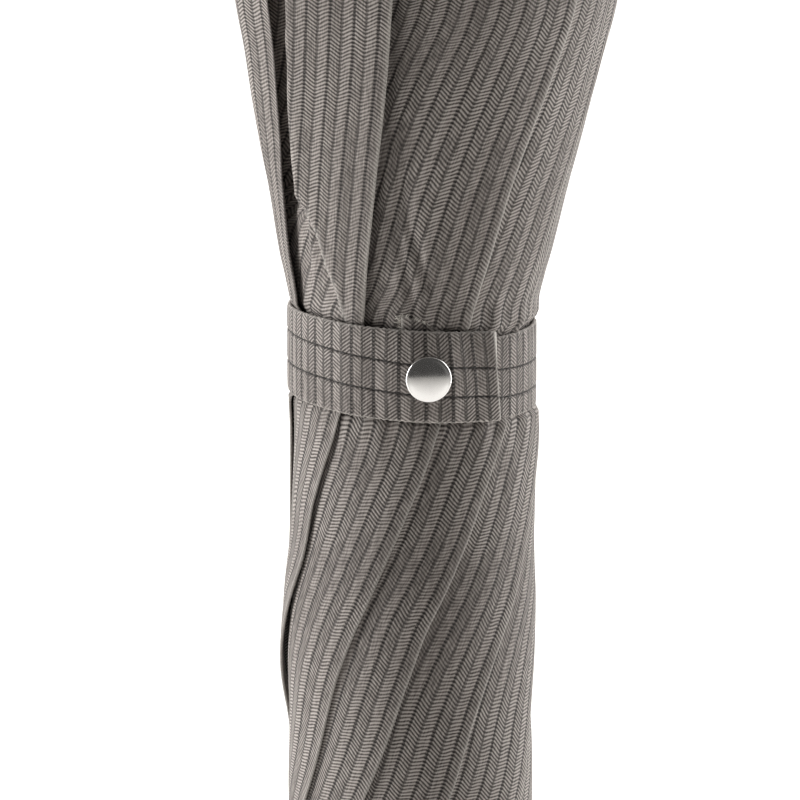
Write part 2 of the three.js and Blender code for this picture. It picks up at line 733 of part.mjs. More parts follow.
const strap = new THREE.Group();
strap.position.z = STRAP_Z;
strap.rotation.y = rad(STRAP_TILT_DEG);
umbrella.add(strap);
add("strap_loop", makeStrapLoop(), cloth, strap);
add("strap_tab", makeStrapTab(), cloth, strap);
add("snap_post", makeSnapPost(), nickel, strap);
add("snap_stud", makeSnapStud(), nickel, strap);
add("snap_socket", makeSnapSocket(), nickel, strap);
add("snap_cap", makeSnapCap(), nickel, strap);

export default umbrella;
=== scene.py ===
"""Visual model of a furled stick umbrella: canopy, tie strap, black frame and crook handle.

Lengths are in millimetres, and bearings in degrees round from the front (-Y) towards +X.
Meshes are scaled to metres when they are made.
"""

from __future__ import annotations

import logging
import math
from dataclasses import dataclass, field
from enum import Enum
from typing import Any, Callable, Iterable, Sequence

import bpy
import numpy as np
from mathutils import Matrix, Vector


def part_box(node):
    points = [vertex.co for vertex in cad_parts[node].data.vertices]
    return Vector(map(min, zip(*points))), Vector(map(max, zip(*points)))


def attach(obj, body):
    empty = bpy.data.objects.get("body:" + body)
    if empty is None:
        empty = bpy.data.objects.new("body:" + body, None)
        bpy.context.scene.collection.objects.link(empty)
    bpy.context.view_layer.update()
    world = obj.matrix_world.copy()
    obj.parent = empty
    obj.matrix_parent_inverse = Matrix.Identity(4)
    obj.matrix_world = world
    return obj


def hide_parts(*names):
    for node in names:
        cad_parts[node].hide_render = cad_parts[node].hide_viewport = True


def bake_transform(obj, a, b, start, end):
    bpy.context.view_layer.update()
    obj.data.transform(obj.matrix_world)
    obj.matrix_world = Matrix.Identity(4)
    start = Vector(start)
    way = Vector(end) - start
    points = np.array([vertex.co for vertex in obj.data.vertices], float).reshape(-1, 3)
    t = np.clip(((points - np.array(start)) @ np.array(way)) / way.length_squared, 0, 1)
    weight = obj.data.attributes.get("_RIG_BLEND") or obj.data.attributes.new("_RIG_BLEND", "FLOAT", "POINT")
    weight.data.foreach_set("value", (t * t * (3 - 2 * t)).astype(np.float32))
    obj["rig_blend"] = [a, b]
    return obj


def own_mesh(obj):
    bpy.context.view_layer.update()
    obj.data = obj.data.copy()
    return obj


Array = np.ndarray
Knots = Sequence[tuple[float, float]]
Faces = list[list[int]]
Material = bpy.types.Material
Object = bpy.types.Object
MM = 0.001
PETAL = 45.0  # degrees from one rib or fold to the next
CREASE = math.radians(40)  # a turned part's edges look sharp above this angle
MATH, MAP, NOISE, MIX = "ShaderNodeMath", "ShaderNodeMapRange", "ShaderNodeTexNoise", "ShaderNodeMix"
VECTOR, WAVE, BUMP = "ShaderNodeVectorMath", "ShaderNodeTexWave", "ShaderNodeBump"

log = logging.getLogger("umbrella")
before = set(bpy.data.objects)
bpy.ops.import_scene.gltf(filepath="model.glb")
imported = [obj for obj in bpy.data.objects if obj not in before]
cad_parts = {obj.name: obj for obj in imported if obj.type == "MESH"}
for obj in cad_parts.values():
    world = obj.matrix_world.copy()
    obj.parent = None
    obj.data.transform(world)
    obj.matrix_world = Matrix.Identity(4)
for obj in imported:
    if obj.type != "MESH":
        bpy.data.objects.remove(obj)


# ---- Shape helpers ----
def curve(knots: Knots, at: Array | float) -> Array:
    """Reads a smooth curve that passes through its knots and never overshoots them.

    Args:
        knots: (place, value) pairs in rising order of place.
        at: the places to read.

    Returns:
        The values there. Beyond the ends the curve stays level.
    """
    xs, ys = np.array(knots, float).T
    width, at = np.diff(xs), np.asarray(at, float)
    slope = np.diff(ys) / width
    a, b = slope[:-1], slope[1:]
    same = a * b > 0
    bend = np.zeros(len(xs))
    bend[1:-1] = np.where(same, 2 * a * b / np.where(same, a + b, 1), 0)
    bend[0], bend[-1] = slope[0], slope[-1]
    k = np.clip(np.searchsorted(xs, at, side="right") - 1, 0, len(width) - 1)
    t = np.clip((at - xs[k]) / width[k], 0, 1)
    return (
        ys[k] * (2 * t**3 - 3 * t**2 + 1)
        + ys[k + 1] * (3 * t**2 - 2 * t**3)
        + width[k] * (bend[k] * (t**3 - 2 * t**2 + t) + bend[k + 1] * (t**3 - t**2))
    )


def step(low: float | Array, high: float | Array, at: Array | float) -> Array:
    """Rises smoothly from 0 at low to 1 at high; low may be the larger of the two."""
    t = np.clip((np.asarray(at, float) - low) / (np.asarray(high) - low), 0, 1)
    return t * t * (3 - 2 * t)


def round_axis(radius: Array, bearing: Array, z: Array, lean: Array | float = 0.0) -> Array:
    """Turns radii, bearings and heights into points.

    Args:
        radius: distances from the shaft's axis.
        bearing: degrees round from the front.
        z: heights.
        lean: how far the axis is pushed along +X.

    Returns:
        Points, one in each last row of three.
    """
    a = np.radians(bearing)
    radius, a, z, lean = np.broadcast_arrays(radius, a, z, lean)
    return np.stack([radius * np.sin(a) + lean, -radius * np.cos(a), z], -1)


def make_mesh(
    name: str, points: Array, faces: Iterable[Sequence[int]], material: Material, uv: Array | None = None
) -> Object:
    """Makes a smooth-shaded mesh object.

    Args:
        name: the piece's name.
        points: vertices in millimetres.
        faces: vertex numbers of each face.
        material: its finish.
        uv: one (along, across) pair for each vertex, in metres.

    Returns:
        The object, linked to the scene.
    """
    mesh = bpy.data.meshes.new(name)
    places = (np.asarray(points).reshape(-1, 3) * MM).tolist()
    mesh.from_pydata(places, [], [list(map(int, face)) for face in faces])
    mesh.shade_smooth()
    mesh.materials.append(material)
    if uv is not None:
        layer = mesh.uv_layers.new(name="UVMap")
        corners = np.empty(len(mesh.loops), np.int32)
        mesh.loops.foreach_get("vertex_index", corners)
        layer.data.foreach_set("uv", np.asarray(uv, float).reshape(-1, 2)[corners].ravel())
    obj = bpy.data.objects.new(name, mesh)
    bpy.context.scene.collection.objects.link(obj)
    return obj


def paint(obj: Object, key: str, values: Array) -> None:
    """Stores one number for each vertex, which the finish reads."""
    numbers = np.asarray(values, np.float32).ravel()
    obj.data.attributes.new(key, "FLOAT", "POINT").data.foreach_set("value", numbers)


def joined(parts: Iterable[tuple[Array, Faces]]) -> tuple[Array, Faces]:
    """Joins many small shapes into one.

    Args:
        parts: the vertices and the faces of each.

    Returns:
        All the vertices and all the faces.
    """
    points: list[Array] = []
    faces: Faces = []
    count = 0
    for part_points, part_faces in parts:
        points.append(part_points)
        faces += [[k + count for k in face] for face in part_faces]
        count += len(part_points)
    return np.concatenate(points), faces


def grid_faces(
    rows: int, columns: int, wrap_rows: bool = False, wrap_columns: bool = False, flip: bool = False
) -> Faces:
    """Lists the quads of a grid of vertices.

    Args:
        rows: number of rows.
        columns: vertices in each row.
        wrap_rows: whether the last row joins the first.
        wrap_columns: whether each row is a ring.
        flip: whether to turn the faces round.

    Returns:
        Four vertex numbers for each quad.
    """
    r = np.arange(rows if wrap_rows else rows - 1)
    c = np.arange(columns if wrap_columns else columns - 1)
    r, c = (x.ravel() for x in np.meshgrid(r, c, indexing="ij"))
    up, on = (r + 1) % rows, (c + 1) % columns
    quads = np.stack([r * columns + c, r * columns + on, up * columns + on, up * columns + c], 1)
    return (quads[:, ::-1] if flip else quads).tolist()


def turned(name: str, profile: Knots, material: Material, sides: int) -> Object:
    """Turns a closed profile round the shaft's axis.

    Args:
        name: the piece's name.
        profile: (radius, height) corners, anticlockwise with the axis on the left.
        material: its finish.
        sides: number of vertices round it.

    Returns:
        The ring-shaped object.
    """
    r, z = np.array(profile, float).T
    points = round_axis(r[:, None], np.arange(sides) * 360 / sides, z[:, None])
    obj = make_mesh(name, points, grid_faces(len(r), sides, wrap_rows=True, wrap_columns=True), material)
    obj.data.set_sharp_from_angle(angle=CREASE)
    return obj


def rounded(profile: Knots, radius: float, cuts: int = 3) -> list[tuple[float, float]]:
    """Rounds every corner of a closed profile.

    Args:
        profile: its corners.
        radius: the most that is taken off each side of a corner.
        cuts: number of pieces in each rounded corner.

    Returns:
        The new corners.
    """
    p = np.array(profile, float)
    made: list[tuple[float, float]] = []
    for before, here, after in zip(np.roll(p, 1, 0), p, np.roll(p, -1, 0)):
        a, b = before - here, after - here
        most = min(radius, 0.45 * float(np.hypot(*a)), 0.45 * float(np.hypot(*b)))
        a, b = here + a / np.hypot(*a) * most, here + b / np.hypot(*b) * most
        for t in np.linspace(0, 1, cuts + 1):
            q = (1 - t) ** 2 * a + 2 * t * (1 - t) * here + t * t * b
            made.append((float(q[0]), float(q[1])))
    return made


def swept(path: Array, radius: Array | float, sides: int) -> tuple[Array, Faces]:
    """Sweeps a round section along a path and closes both ends.

    Args:
        path: points along its centreline.
        radius: the section's radius, one for all or one for each point.
        sides: number of vertices in each ring.

    Returns:
        Its vertices and its faces.
    """
    along = np.gradient(path, axis=0)
    along /= np.linalg.norm(along, axis=1, keepdims=True)
    steep = abs(along[0, 1]) >= 0.8
    guide = np.array([1.0, 0.0, 0.0]) if steep else np.array([0.0, 1.0, 0.0])
    side = np.cross(along, guide)
    side /= np.linalg.norm(side, axis=1, keepdims=True)
    other = np.cross(along, side)
    a = np.arange(sides) * 2 * math.pi / sides
    ring = side[:, None] * np.cos(a)[None, :, None] + other[:, None] * np.sin(a)[None, :, None]
    points = (path[:, None] + ring * np.broadcast_to(radius, len(path))[:, None, None]).reshape(-1, 3)
    faces = grid_faces(len(path), sides, wrap_columns=True)
    faces += [list(range(sides))[::-1], [len(points) - sides + k for k in range(sides)]]
    return points, faces


# ---- Finishes ----
def linear(hex_colour: str) -> tuple[float, float, float, float]:
    """Turns an sRGB colour into linear light.

    Args:
        hex_colour: six hex digits.

    Returns:
        Red, green, blue and alpha.
    """
    parts = [int(hex_colour[k : k + 2], 16) / 255 for k in (0, 2, 4)]
    red, green, blue = (c / 12.92 if c <= 0.04045 else ((c + 0.055) / 1.055) ** 2.4 for c in parts)
    return (red, green, blue, 1.0)


def toned(hex_colour: str, share: float, lift: float = 0.0) -> tuple[float, ...]:
    """Makes a paler or darker linear colour from an sRGB one."""
    return tuple(min(1.0, share * c + lift) for c in linear(hex_colour)[:3]) + (1.0,)


def add(
    tree: bpy.types.NodeTree, kind: str, inputs: dict[Any, Any] | list[Any] | None = None, **settings: Any
) -> bpy.types.Node:
    """Adds a node, with its settings and its inputs.

    Args:
        tree: the node tree.
        kind: the node's type.
        inputs: a value, an output or a node to link, for each input by name or number, or in order.
        **settings: the node's own properties.

    Returns:
        The node.
    """
    made = tree.nodes.new(kind)
    for key, value in settings.items():
        setattr(made, key, value)
    given = inputs if isinstance(inputs, dict) else dict(enumerate(inputs or []))
    for key, value in given.items():
        if isinstance(value, bpy.types.Node):
            value = value.outputs[0]
        if isinstance(value, bpy.types.NodeSocket):
            tree.links.new(value, made.inputs[key])
        else:
            made.inputs[key].default_value = value
    return made


def start_material(name: str) -> tuple[Material, Callable[..., bpy.types.Node]]:
    """Starts a material.

    Args:
        name: its name.

    Returns:
        The material, and a call that adds a node to it.
    """
    material = bpy.data.materials.new(name)
    material.use_nodes = True
    material.node_tree.nodes.clear()

    def put(kind: str, inputs: dict[Any, Any] | list[Any] | None = None, **settings: Any) -> bpy.types.Node:
        """Adds a node to this material."""
        return add(material.node_tree, kind, inputs, **settings)

    return material, put


def end_material(material: Material, inputs: dict[str, Any]) -> Material:
    """Ends a material with its surface shader.

    Args:
        material: the material.
        inputs: the shader's inputs by name.

    Returns:
        The material.
    """
    shader = add(material.node_tree, "ShaderNodeBsdfPrincipled", inputs)
    add(material.node_tree, "ShaderNodeOutputMaterial", {"Surface": shader})
    return material


class Weave(Enum):
    """Which way the herringbone's columns run on a piece of cloth."""

    ALONG_FOLD = "canopy"
    ACROSS_BAND = "strap"


@dataclass(frozen=True)
class HerringboneCloth:
    """Polyester pongee woven in a fine herringbone.

    The eye sees 3 mm columns of slanting floats that turn at each dark, dotted join.
    """

    weave: Weave
    base: str = "746D69"
    light: str = "A49D98"
    dark: str = "3F3B38"
    shade: str = "1F1C1B"  # dark of the joins between the columns, and painted shade along stitching
    pressed: str = "B9B4AE"  # pale tint along a pressed fold and a cut edge: partly worn, partly painted highlight
    bloom: str = "E8E4DE"  # of the sheen
    column: float = 3.05
    twill: float = 0.92  # between floats
    slant: float = 29.0  # of the floats, in degrees
    join: float = 0.08  # half the width of a join, in columns
    wander: float = 260.0  # bends in the yarns per metre, 4 mm apart
    yarns: float = 2600.0  # dyed yarns per metre, 0.4 mm apart, drawn coarser than real so that they show
    patches: float = 45.0  # paler patches per metre, 22 mm apart
    relief: float = 0.12
    roughness: float = 0.72
    sheen: float = 0.12

    def material(self) -> Material:
        """Builds the cloth's material.

        Returns:
            The material.
        """
        material, put = start_material(f"herringbone_pongee_{self.weave.value}")
        split = put("ShaderNodeSeparateXYZ", [put("ShaderNodeUVMap", uv_map="UVMap")])
        across, along = split.outputs[0], split.outputs[1]
        place = put("ShaderNodeCombineXYZ", [across, along])
        # Yarns wander a little, so lines are never quite straight
        bends = put(NOISE, {"Vector": place, "Scale": self.wander, "Detail": 1.0}, noise_dimensions="2D")
        wander = put(MATH, [bends, 0.5], operation="SUBTRACT")
        even = put(MATH, [across, self.column * MM], operation="DIVIDE")
        column = put(MATH, [wander, 0.05, even], operation="MULTIPLY_ADD")
        number, inside = (put(MATH, [column], operation=kind) for kind in ("FLOOR", "FRACT"))
        odd = put(MATH, [number, 1.0], operation="PINGPONG")
        turn = put(MATH, [odd, 2.0, -1.0], operation="MULTIPLY_ADD")
        # Floats slant one way in a column and the other way in the next
        rise = self.column / self.twill * math.tan(math.radians(self.slant))
        from_middle = put(MATH, [inside, 0.5], operation="SUBTRACT")
        skew = put(MATH, [put(MATH, [from_middle, turn], operation="MULTIPLY"), rise], operation="MULTIPLY")
        skew = put(MATH, [wander, 0.5, skew], operation="MULTIPLY_ADD")
        phase = put(MATH, [put(MATH, [along, self.twill * MM], operation="DIVIDE"), skew], operation="ADD")
        swell = put(MATH, [put(MATH, [phase, 2 * math.pi], operation="MULTIPLY")], operation="SINE")
        floats = put(MATH, [swell, 0.5, 0.5], operation="MULTIPLY_ADD")
        # The join of two columns: a dark line broken into dots at the pitch of the twill
        edge = put(MATH, [put(MATH, [column, 0.5], operation="PINGPONG"), self.join], operation="SUBTRACT")
        edge = put(MATH, [edge, -10.0, 1.0], operation="MULTIPLY_ADD", use_clamp=True)
        beat = put(MATH, [along, 2 * math.pi / (self.twill * MM)], operation="MULTIPLY")
        beat = put(MATH, [beat], operation="SINE")
        dots = put(MATH, [beat, 0.45, 0.68], operation="MULTIPLY_ADD", use_clamp=True)
        # Every second join is the stronger one
        second = put(MATH, [put(MATH, [column], operation="ROUND"), 1.0], operation="PINGPONG")
        strong = put(MATH, [second, 0.25, 0.75], operation="MULTIPLY_ADD")
        dotted = put(MATH, [edge, dots], operation="MULTIPLY")
        join = put(MATH, [dotted, strong], operation="MULTIPLY", use_clamp=True)
        # Each yarn is dyed a little differently, drawn out along the columns
        streak = put(VECTOR, [place, (1.0, 0.12, 1.0)], operation="MULTIPLY")
        yarn = put(NOISE, {"Vector": streak, "Scale": self.yarns, "Detail": 2.0}, noise_dimensions="2D")
        patch = put(NOISE, {"Vector": place, "Scale": self.patches, "Detail": 2.0}, noise_dimensions="2D")
        clear = put(MAP, [patch, 0.38, 0.62, 0.45, 1.0])
        tone = put(MATH, [turn, 0.08, 0.5], operation="MULTIPLY_ADD")
        for source, share in ((floats, clear), (yarn, 0.9), (patch, 0.25)):
            off = put(MATH, [source, 0.5], operation="SUBTRACT")
            tone = put(MATH, [off, share, tone], operation="MULTIPLY_ADD")
        ramp = put("ShaderNodeValToRGB", [tone])
        stops = ramp.color_ramp.elements
        stops[0].position, stops[0].color = 0.05, linear(self.dark)
        stops[1].position, stops[1].color = 0.95, linear(self.light)
        stops.new(0.5).color = linear(self.base)
        colour = put(MIX, {0: join, 6: ramp, 7: linear(self.shade)}, data_type="RGBA")
        # Painted shade darkens the cloth along stitching, where it is drawn down into a groove, and a pressed
        # fold or cut edge gets a pale tint that is partly wear and partly painted highlight
        for key, share, tint in (("seam", 0.95, self.shade), ("wear_and_highlight", 0.8, self.pressed)):
            stored = put("ShaderNodeAttribute", attribute_name=key).outputs["Fac"]
            amount = put(MATH, [stored, share], operation="MULTIPLY")
            colour = put(MIX, {0: amount, 6: colour.outputs[2], 7: linear(tint)}, data_type="RGBA")
        height = put(MATH, [join, -1.2, floats], operation="MULTIPLY_ADD")
        bump = put(BUMP, {"Height": height, "Strength": 0.7, "Distance": self.relief * MM})
        rough = put(MATH, [floats, -0.12, self.roughness + 0.06], operation="MULTIPLY_ADD")
        return end_material(material, {
            "Base Color": colour.outputs[2], "Roughness": rough, "Normal": bump, "Specular IOR Level": 0.3,
            "Sheen Weight": self.sheen, "Sheen Roughness": 0.4, "Sheen Tint": linear(self.bloom),
        })  # fmt: skip


@dataclass(frozen=True)
class Metal:
    """A metal part. The eye sees its plating's colour, with fine marks from the way it was finished."""

    name: str
    colour: str
    roughness: float
    grit: float = 0.15  # spacing of the polishing marks, drawn coarser than real so that they show
    marks: float = 0.02
    smears: float = 160.0  # duller patches per metre, 6 mm apart

    def material(self) -> Material:
        """Builds the metal's material.

        Returns:
            The material.
        """
        material, put = start_material(self.name)
        place = put("ShaderNodeTexCoord").outputs["Object"]
        drawn = put(VECTOR, [place, (1.0, 1.0, 0.12)], operation="MULTIPLY")
        fine = put(NOISE, {"Vector": drawn, "Scale": 1 / (self.grit * MM), "Detail": 3.0})
        smear = put(NOISE, {"Vector": place, "Scale": self.smears, "Detail": 3.0})
        rough = put(MAP, [smear, 0.3, 0.7, self.roughness * 0.8, self.roughness * 1.35])
        dull = toned(self.colour, 0.86)
        tint = put(MIX, {0: smear, 6: linear(self.colour), 7: dull}, data_type="RGBA")
        bump = put(BUMP, {"Height": fine, "Strength": 0.25, "Distance": self.marks * MM})
        inputs = {"Base Color": tint.outputs[2], "Roughness": rough, "Normal": bump, "Metallic": 1.0}
        return end_material(material, inputs)


@dataclass(frozen=True)
class Coated:
    """Moulded plastic or stove-enamelled steel.

    The eye sees a dark, even colour under a soft shine with a slight orange-peel texture.
    """

    name: str
    colour: str
    roughness: float
    peel: float = 0.8  # spacing of the texture's swells
    depth: float = 0.015
    dust: float = 90.0  # dusty patches per metre, 11 mm apart

    def material(self) -> Material:
        """Builds the coating's material.

        Returns:
            The material.
        """
        material, put = start_material(self.name)
        place = put("ShaderNodeTexCoord").outputs["Object"]
        swell = put(NOISE, {"Vector": place, "Scale": 1 / (self.peel * MM), "Detail": 2.0})
        dust = put(NOISE, {"Vector": place, "Scale": self.dust, "Detail": 4.0})
        pale = toned(self.colour, 1.35, 0.004)
        tint = put(MIX, {0: dust, 6: linear(self.colour), 7: pale}, data_type="RGBA")
        rough = put(MAP, [dust, 0.3, 0.7, self.roughness - 0.06, self.roughness + 0.08])
        bump = put(BUMP, {"Height": swell, "Strength": 0.5, "Distance": self.depth * MM})
        return end_material(material, {"Base Color": tint.outputs[2], "Roughness": rough, "Normal": bump})


@dataclass(frozen=True)
class LacqueredChestnut:
    """Bent chestnut under clear lacquer. The eye sees long brown grain with dark pores round the crook."""

    pale: str = "8A5630"
    brown: str = "5A3319"
    pore: str = "2B160B"
    ring: float = 2.2  # between growth rings
    pore_width: float = 0.25
    pore_depth: float = 0.03
    waver: float = 140.0  # bends in the grain per metre, 7 mm apart
    roughness: float = 0.34

    def material(self) -> Material:
        """Builds the wood's material.

        Returns:
            The material.
        """
        material, put = start_material("chestnut_lacquered")
        grain = put("ShaderNodeAttribute", attribute_name="grain").outputs["Vector"]
        slow = put(VECTOR, [grain, (1.0, 1.0, 0.045)], operation="MULTIPLY")
        warp = put(NOISE, {"Vector": slow, "Scale": self.waver, "Detail": 2.0})
        shift = put(VECTOR, [warp.outputs["Color"], (0.004, 0.004, 0.0)], operation="MULTIPLY")
        moved = put(VECTOR, [slow, shift], operation="ADD")
        spacing = 0.5 / (self.ring * MM) / 3.2
        rings = put(
            WAVE,
            {"Vector": moved, "Scale": spacing, "Distortion": 3.0, "Detail": 3.0},
            wave_type="BANDS",
            bands_direction="X",
        )
        fibre = put(NOISE, {"Vector": slow, "Scale": 1 / (self.pore_width * MM) / 2, "Detail": 3.0})
        ramp = put("ShaderNodeValToRGB", [rings.outputs["Fac"]])
        stops = ramp.color_ramp.elements
        stops[0].color, stops[1].color = linear(self.brown), linear(self.pale)
        pores = put(MAP, [fibre, 0.56, 0.68, 0.0, 0.7])
        wood = put(MIX, {0: pores, 6: ramp, 7: linear(self.pore)}, data_type="RGBA")
        bump = put(BUMP, {"Height": fibre, "Strength": 0.25, "Distance": self.pore_depth * MM})
        rough = put(MAP, [fibre, 0.3, 0.7, self.roughness - 0.05, self.roughness + 0.1])
        return end_material(material, {
            "Base Color": wood.outputs[2], "Roughness": rough, "Normal": bump,
            "Coat Weight": 0.6, "Coat Roughness": 0.12,
        })  # fmt: skip


@dataclass(frozen=True)
class SewingThread:
    """Twisted polyester thread. The eye sees a fine cord with slanting plies."""

    name: str
    colour: str
    ply: float = 0.35
    relief: float = 0.05

    def material(self) -> Material:
        """Builds the thread's material.

        Returns:
            The material.
        """
        material, put = start_material(self.name)
        place = put("ShaderNodeTexCoord").outputs["Object"]
        spacing = 0.5 / (self.ply * MM) / 3.2
        plies = put(
            WAVE, {"Vector": place, "Scale": spacing, "Distortion": 1.5}, bands_direction="DIAGONAL"
        ).outputs["Fac"]
        tint = put(MIX, {0: plies, 6: toned(self.colour, 0.62), 7: linear(self.colour)}, data_type="RGBA")
        bump = put(BUMP, {"Height": plies, "Strength": 0.5, "Distance": self.relief * MM})
        rough = put(MAP, {0: plies, 3: 0.7, 4: 0.55})
        return end_material(material, {"Base Color": tint.outputs[2], "Roughness": rough, "Normal": bump})


# ---- The furled canopy ----
@dataclass(frozen=True)
class Roll:
    """Where the furled canopy lies: how far out and how far round each fold stands at each height."""

    ribs: int = 8
    rib_bearing: float = -32.0
    fold_bearing: float = -70.0
    fold_drift: tuple[float, ...] = (8, -4, 0, -8, -10, -9, -8, -2)  # degrees, for each petal
    strap_z: float = 475.0
    seam_radius: float = 13.6
    outline: Knots = (
        (70, 11.9), (78, 13.4), (90, 14.8), (110, 16.6), (160, 20.5), (220, 25.0), (290, 28.6), (350, 30.4),
        (373, 31.1), (388, 31.0), (403, 31.4), (415, 31.5), (434, 30.7), (455, 30.7), (489, 30.7),
        (495, 31.9), (501, 33.5), (507, 34.8), (513, 36.0), (519, 37.3), (525, 38.8), (532, 40.4),
        (538, 41.7), (550, 44.0), (562, 46.6), (600, 52.0), (640, 56.0),
    )  # fmt: skip
    sway: Knots = (
        (300, 0.0), (378, -0.5), (402, -1.15), (420, -0.65), (439, 0.3), (457, 0.75), (475, 0.2),
        (497, 0.7), (518, 1.7), (567, 3.4), (600, 2.6), (640, 0.6),
    )  # fmt: skip
    twist: Knots = (
        (70, -312), (84, -308), (100, -300), (120, -283), (140, -267.5), (160, -251), (200, -219),
        (250, -179), (300, -139), (340, -107), (372, -81.5), (386, -72), (400, -61), (412, -50.5),
        (424, -39.5), (435, -31), (448, -22), (462, -11), (475, 0), (494, 4), (528, 11), (562, 18),
        (640, 26),
    )  # fmt: skip
    own_twist: dict[int, Knots] = field(default_factory=lambda: {
        1: (
            (400, 1), (440, -6), (462, -12), (475, -9), (494, -10), (506, -13), (518, -19), (530, -23.5),
            (549, -25.5), (567, -26.5), (640, -32),
        ),
        2: (
            (385, 0), (400, 5), (425, 7), (443, 2.5), (455, 2.5), (463, 2), (475, 0), (485, 3), (494, 3),
            (528, 3), (562, 0.7), (640, -1),
        ),
        3: (
            (340, 0), (381, 9.5), (400, 7.5), (415, 5.5), (432, 3.5), (448, 4), (462, 2), (475, 0),
            (485, 3), (494, 5), (520, 6), (562, 10), (640, 12),
        ),
        4: ((340, 0), (372, 4), (386, 5.4), (401, 3.8), (417, 0.3), (475, 0), (494, 1), (562, 4), (640, 5)),
    })  # fmt: skip
    band_half: float = 10.6  # half the height of the waist under the strap
    waist: float = 29.0

    def drift(self, petal: int, z: Array) -> Array:
        """How far a fold stands round from its even place."""
        own = curve(self.own_twist[petal], z) if petal in self.own_twist else 0.0
        return self.fold_drift[petal - 1] * step(150, 300, z) + own

    def fold(self, petal: int, z: Array) -> Array:
        """Bearing of a petal's fold at each height."""
        return self.fold_bearing + PETAL * (petal - 1) + curve(self.twist, z) + self.drift(petal, z)

    def rib(self, petal: int) -> float:
        """Bearing of the rib that a petal's outer half is sewn to."""
        return self.rib_bearing + PETAL * (petal - 1)

    def span(self, petal: int, z: Array) -> Array:
        """Degrees that a petal's outer half goes round, from its rib to its fold."""
        return self.fold(petal, z) + 360 - self.rib(petal)

    def band_centre(self, bearing: Array) -> Array:
        """Height of the strap's middle, which dips and rises as it goes round."""
        a = np.radians(bearing)
        return self.strap_z + 1.25 - 1.85 * np.sin(a) - 1.05 * np.cos(a)

    def radius(self, z: Array, bearing: Array) -> Array:
        """Radius of the outermost folds, drawn in under the strap.

        Args:
            z: heights.
            bearing: degrees round from the front.

        Returns:
            Radii.
        """
        free = curve(self.outline, z)
        off = np.abs(z - self.band_centre(bearing))
        drawn = self.waist + (free - self.waist) * step(self.band_half - 1.2, self.band_half + 1.6, off)
        return np.minimum(free, drawn)

    def seam(self, z: Array) -> Array:
        """Radius of the seams along the ribs."""
        return np.minimum(self.seam_radius, curve(self.outline, z) - 0.4)


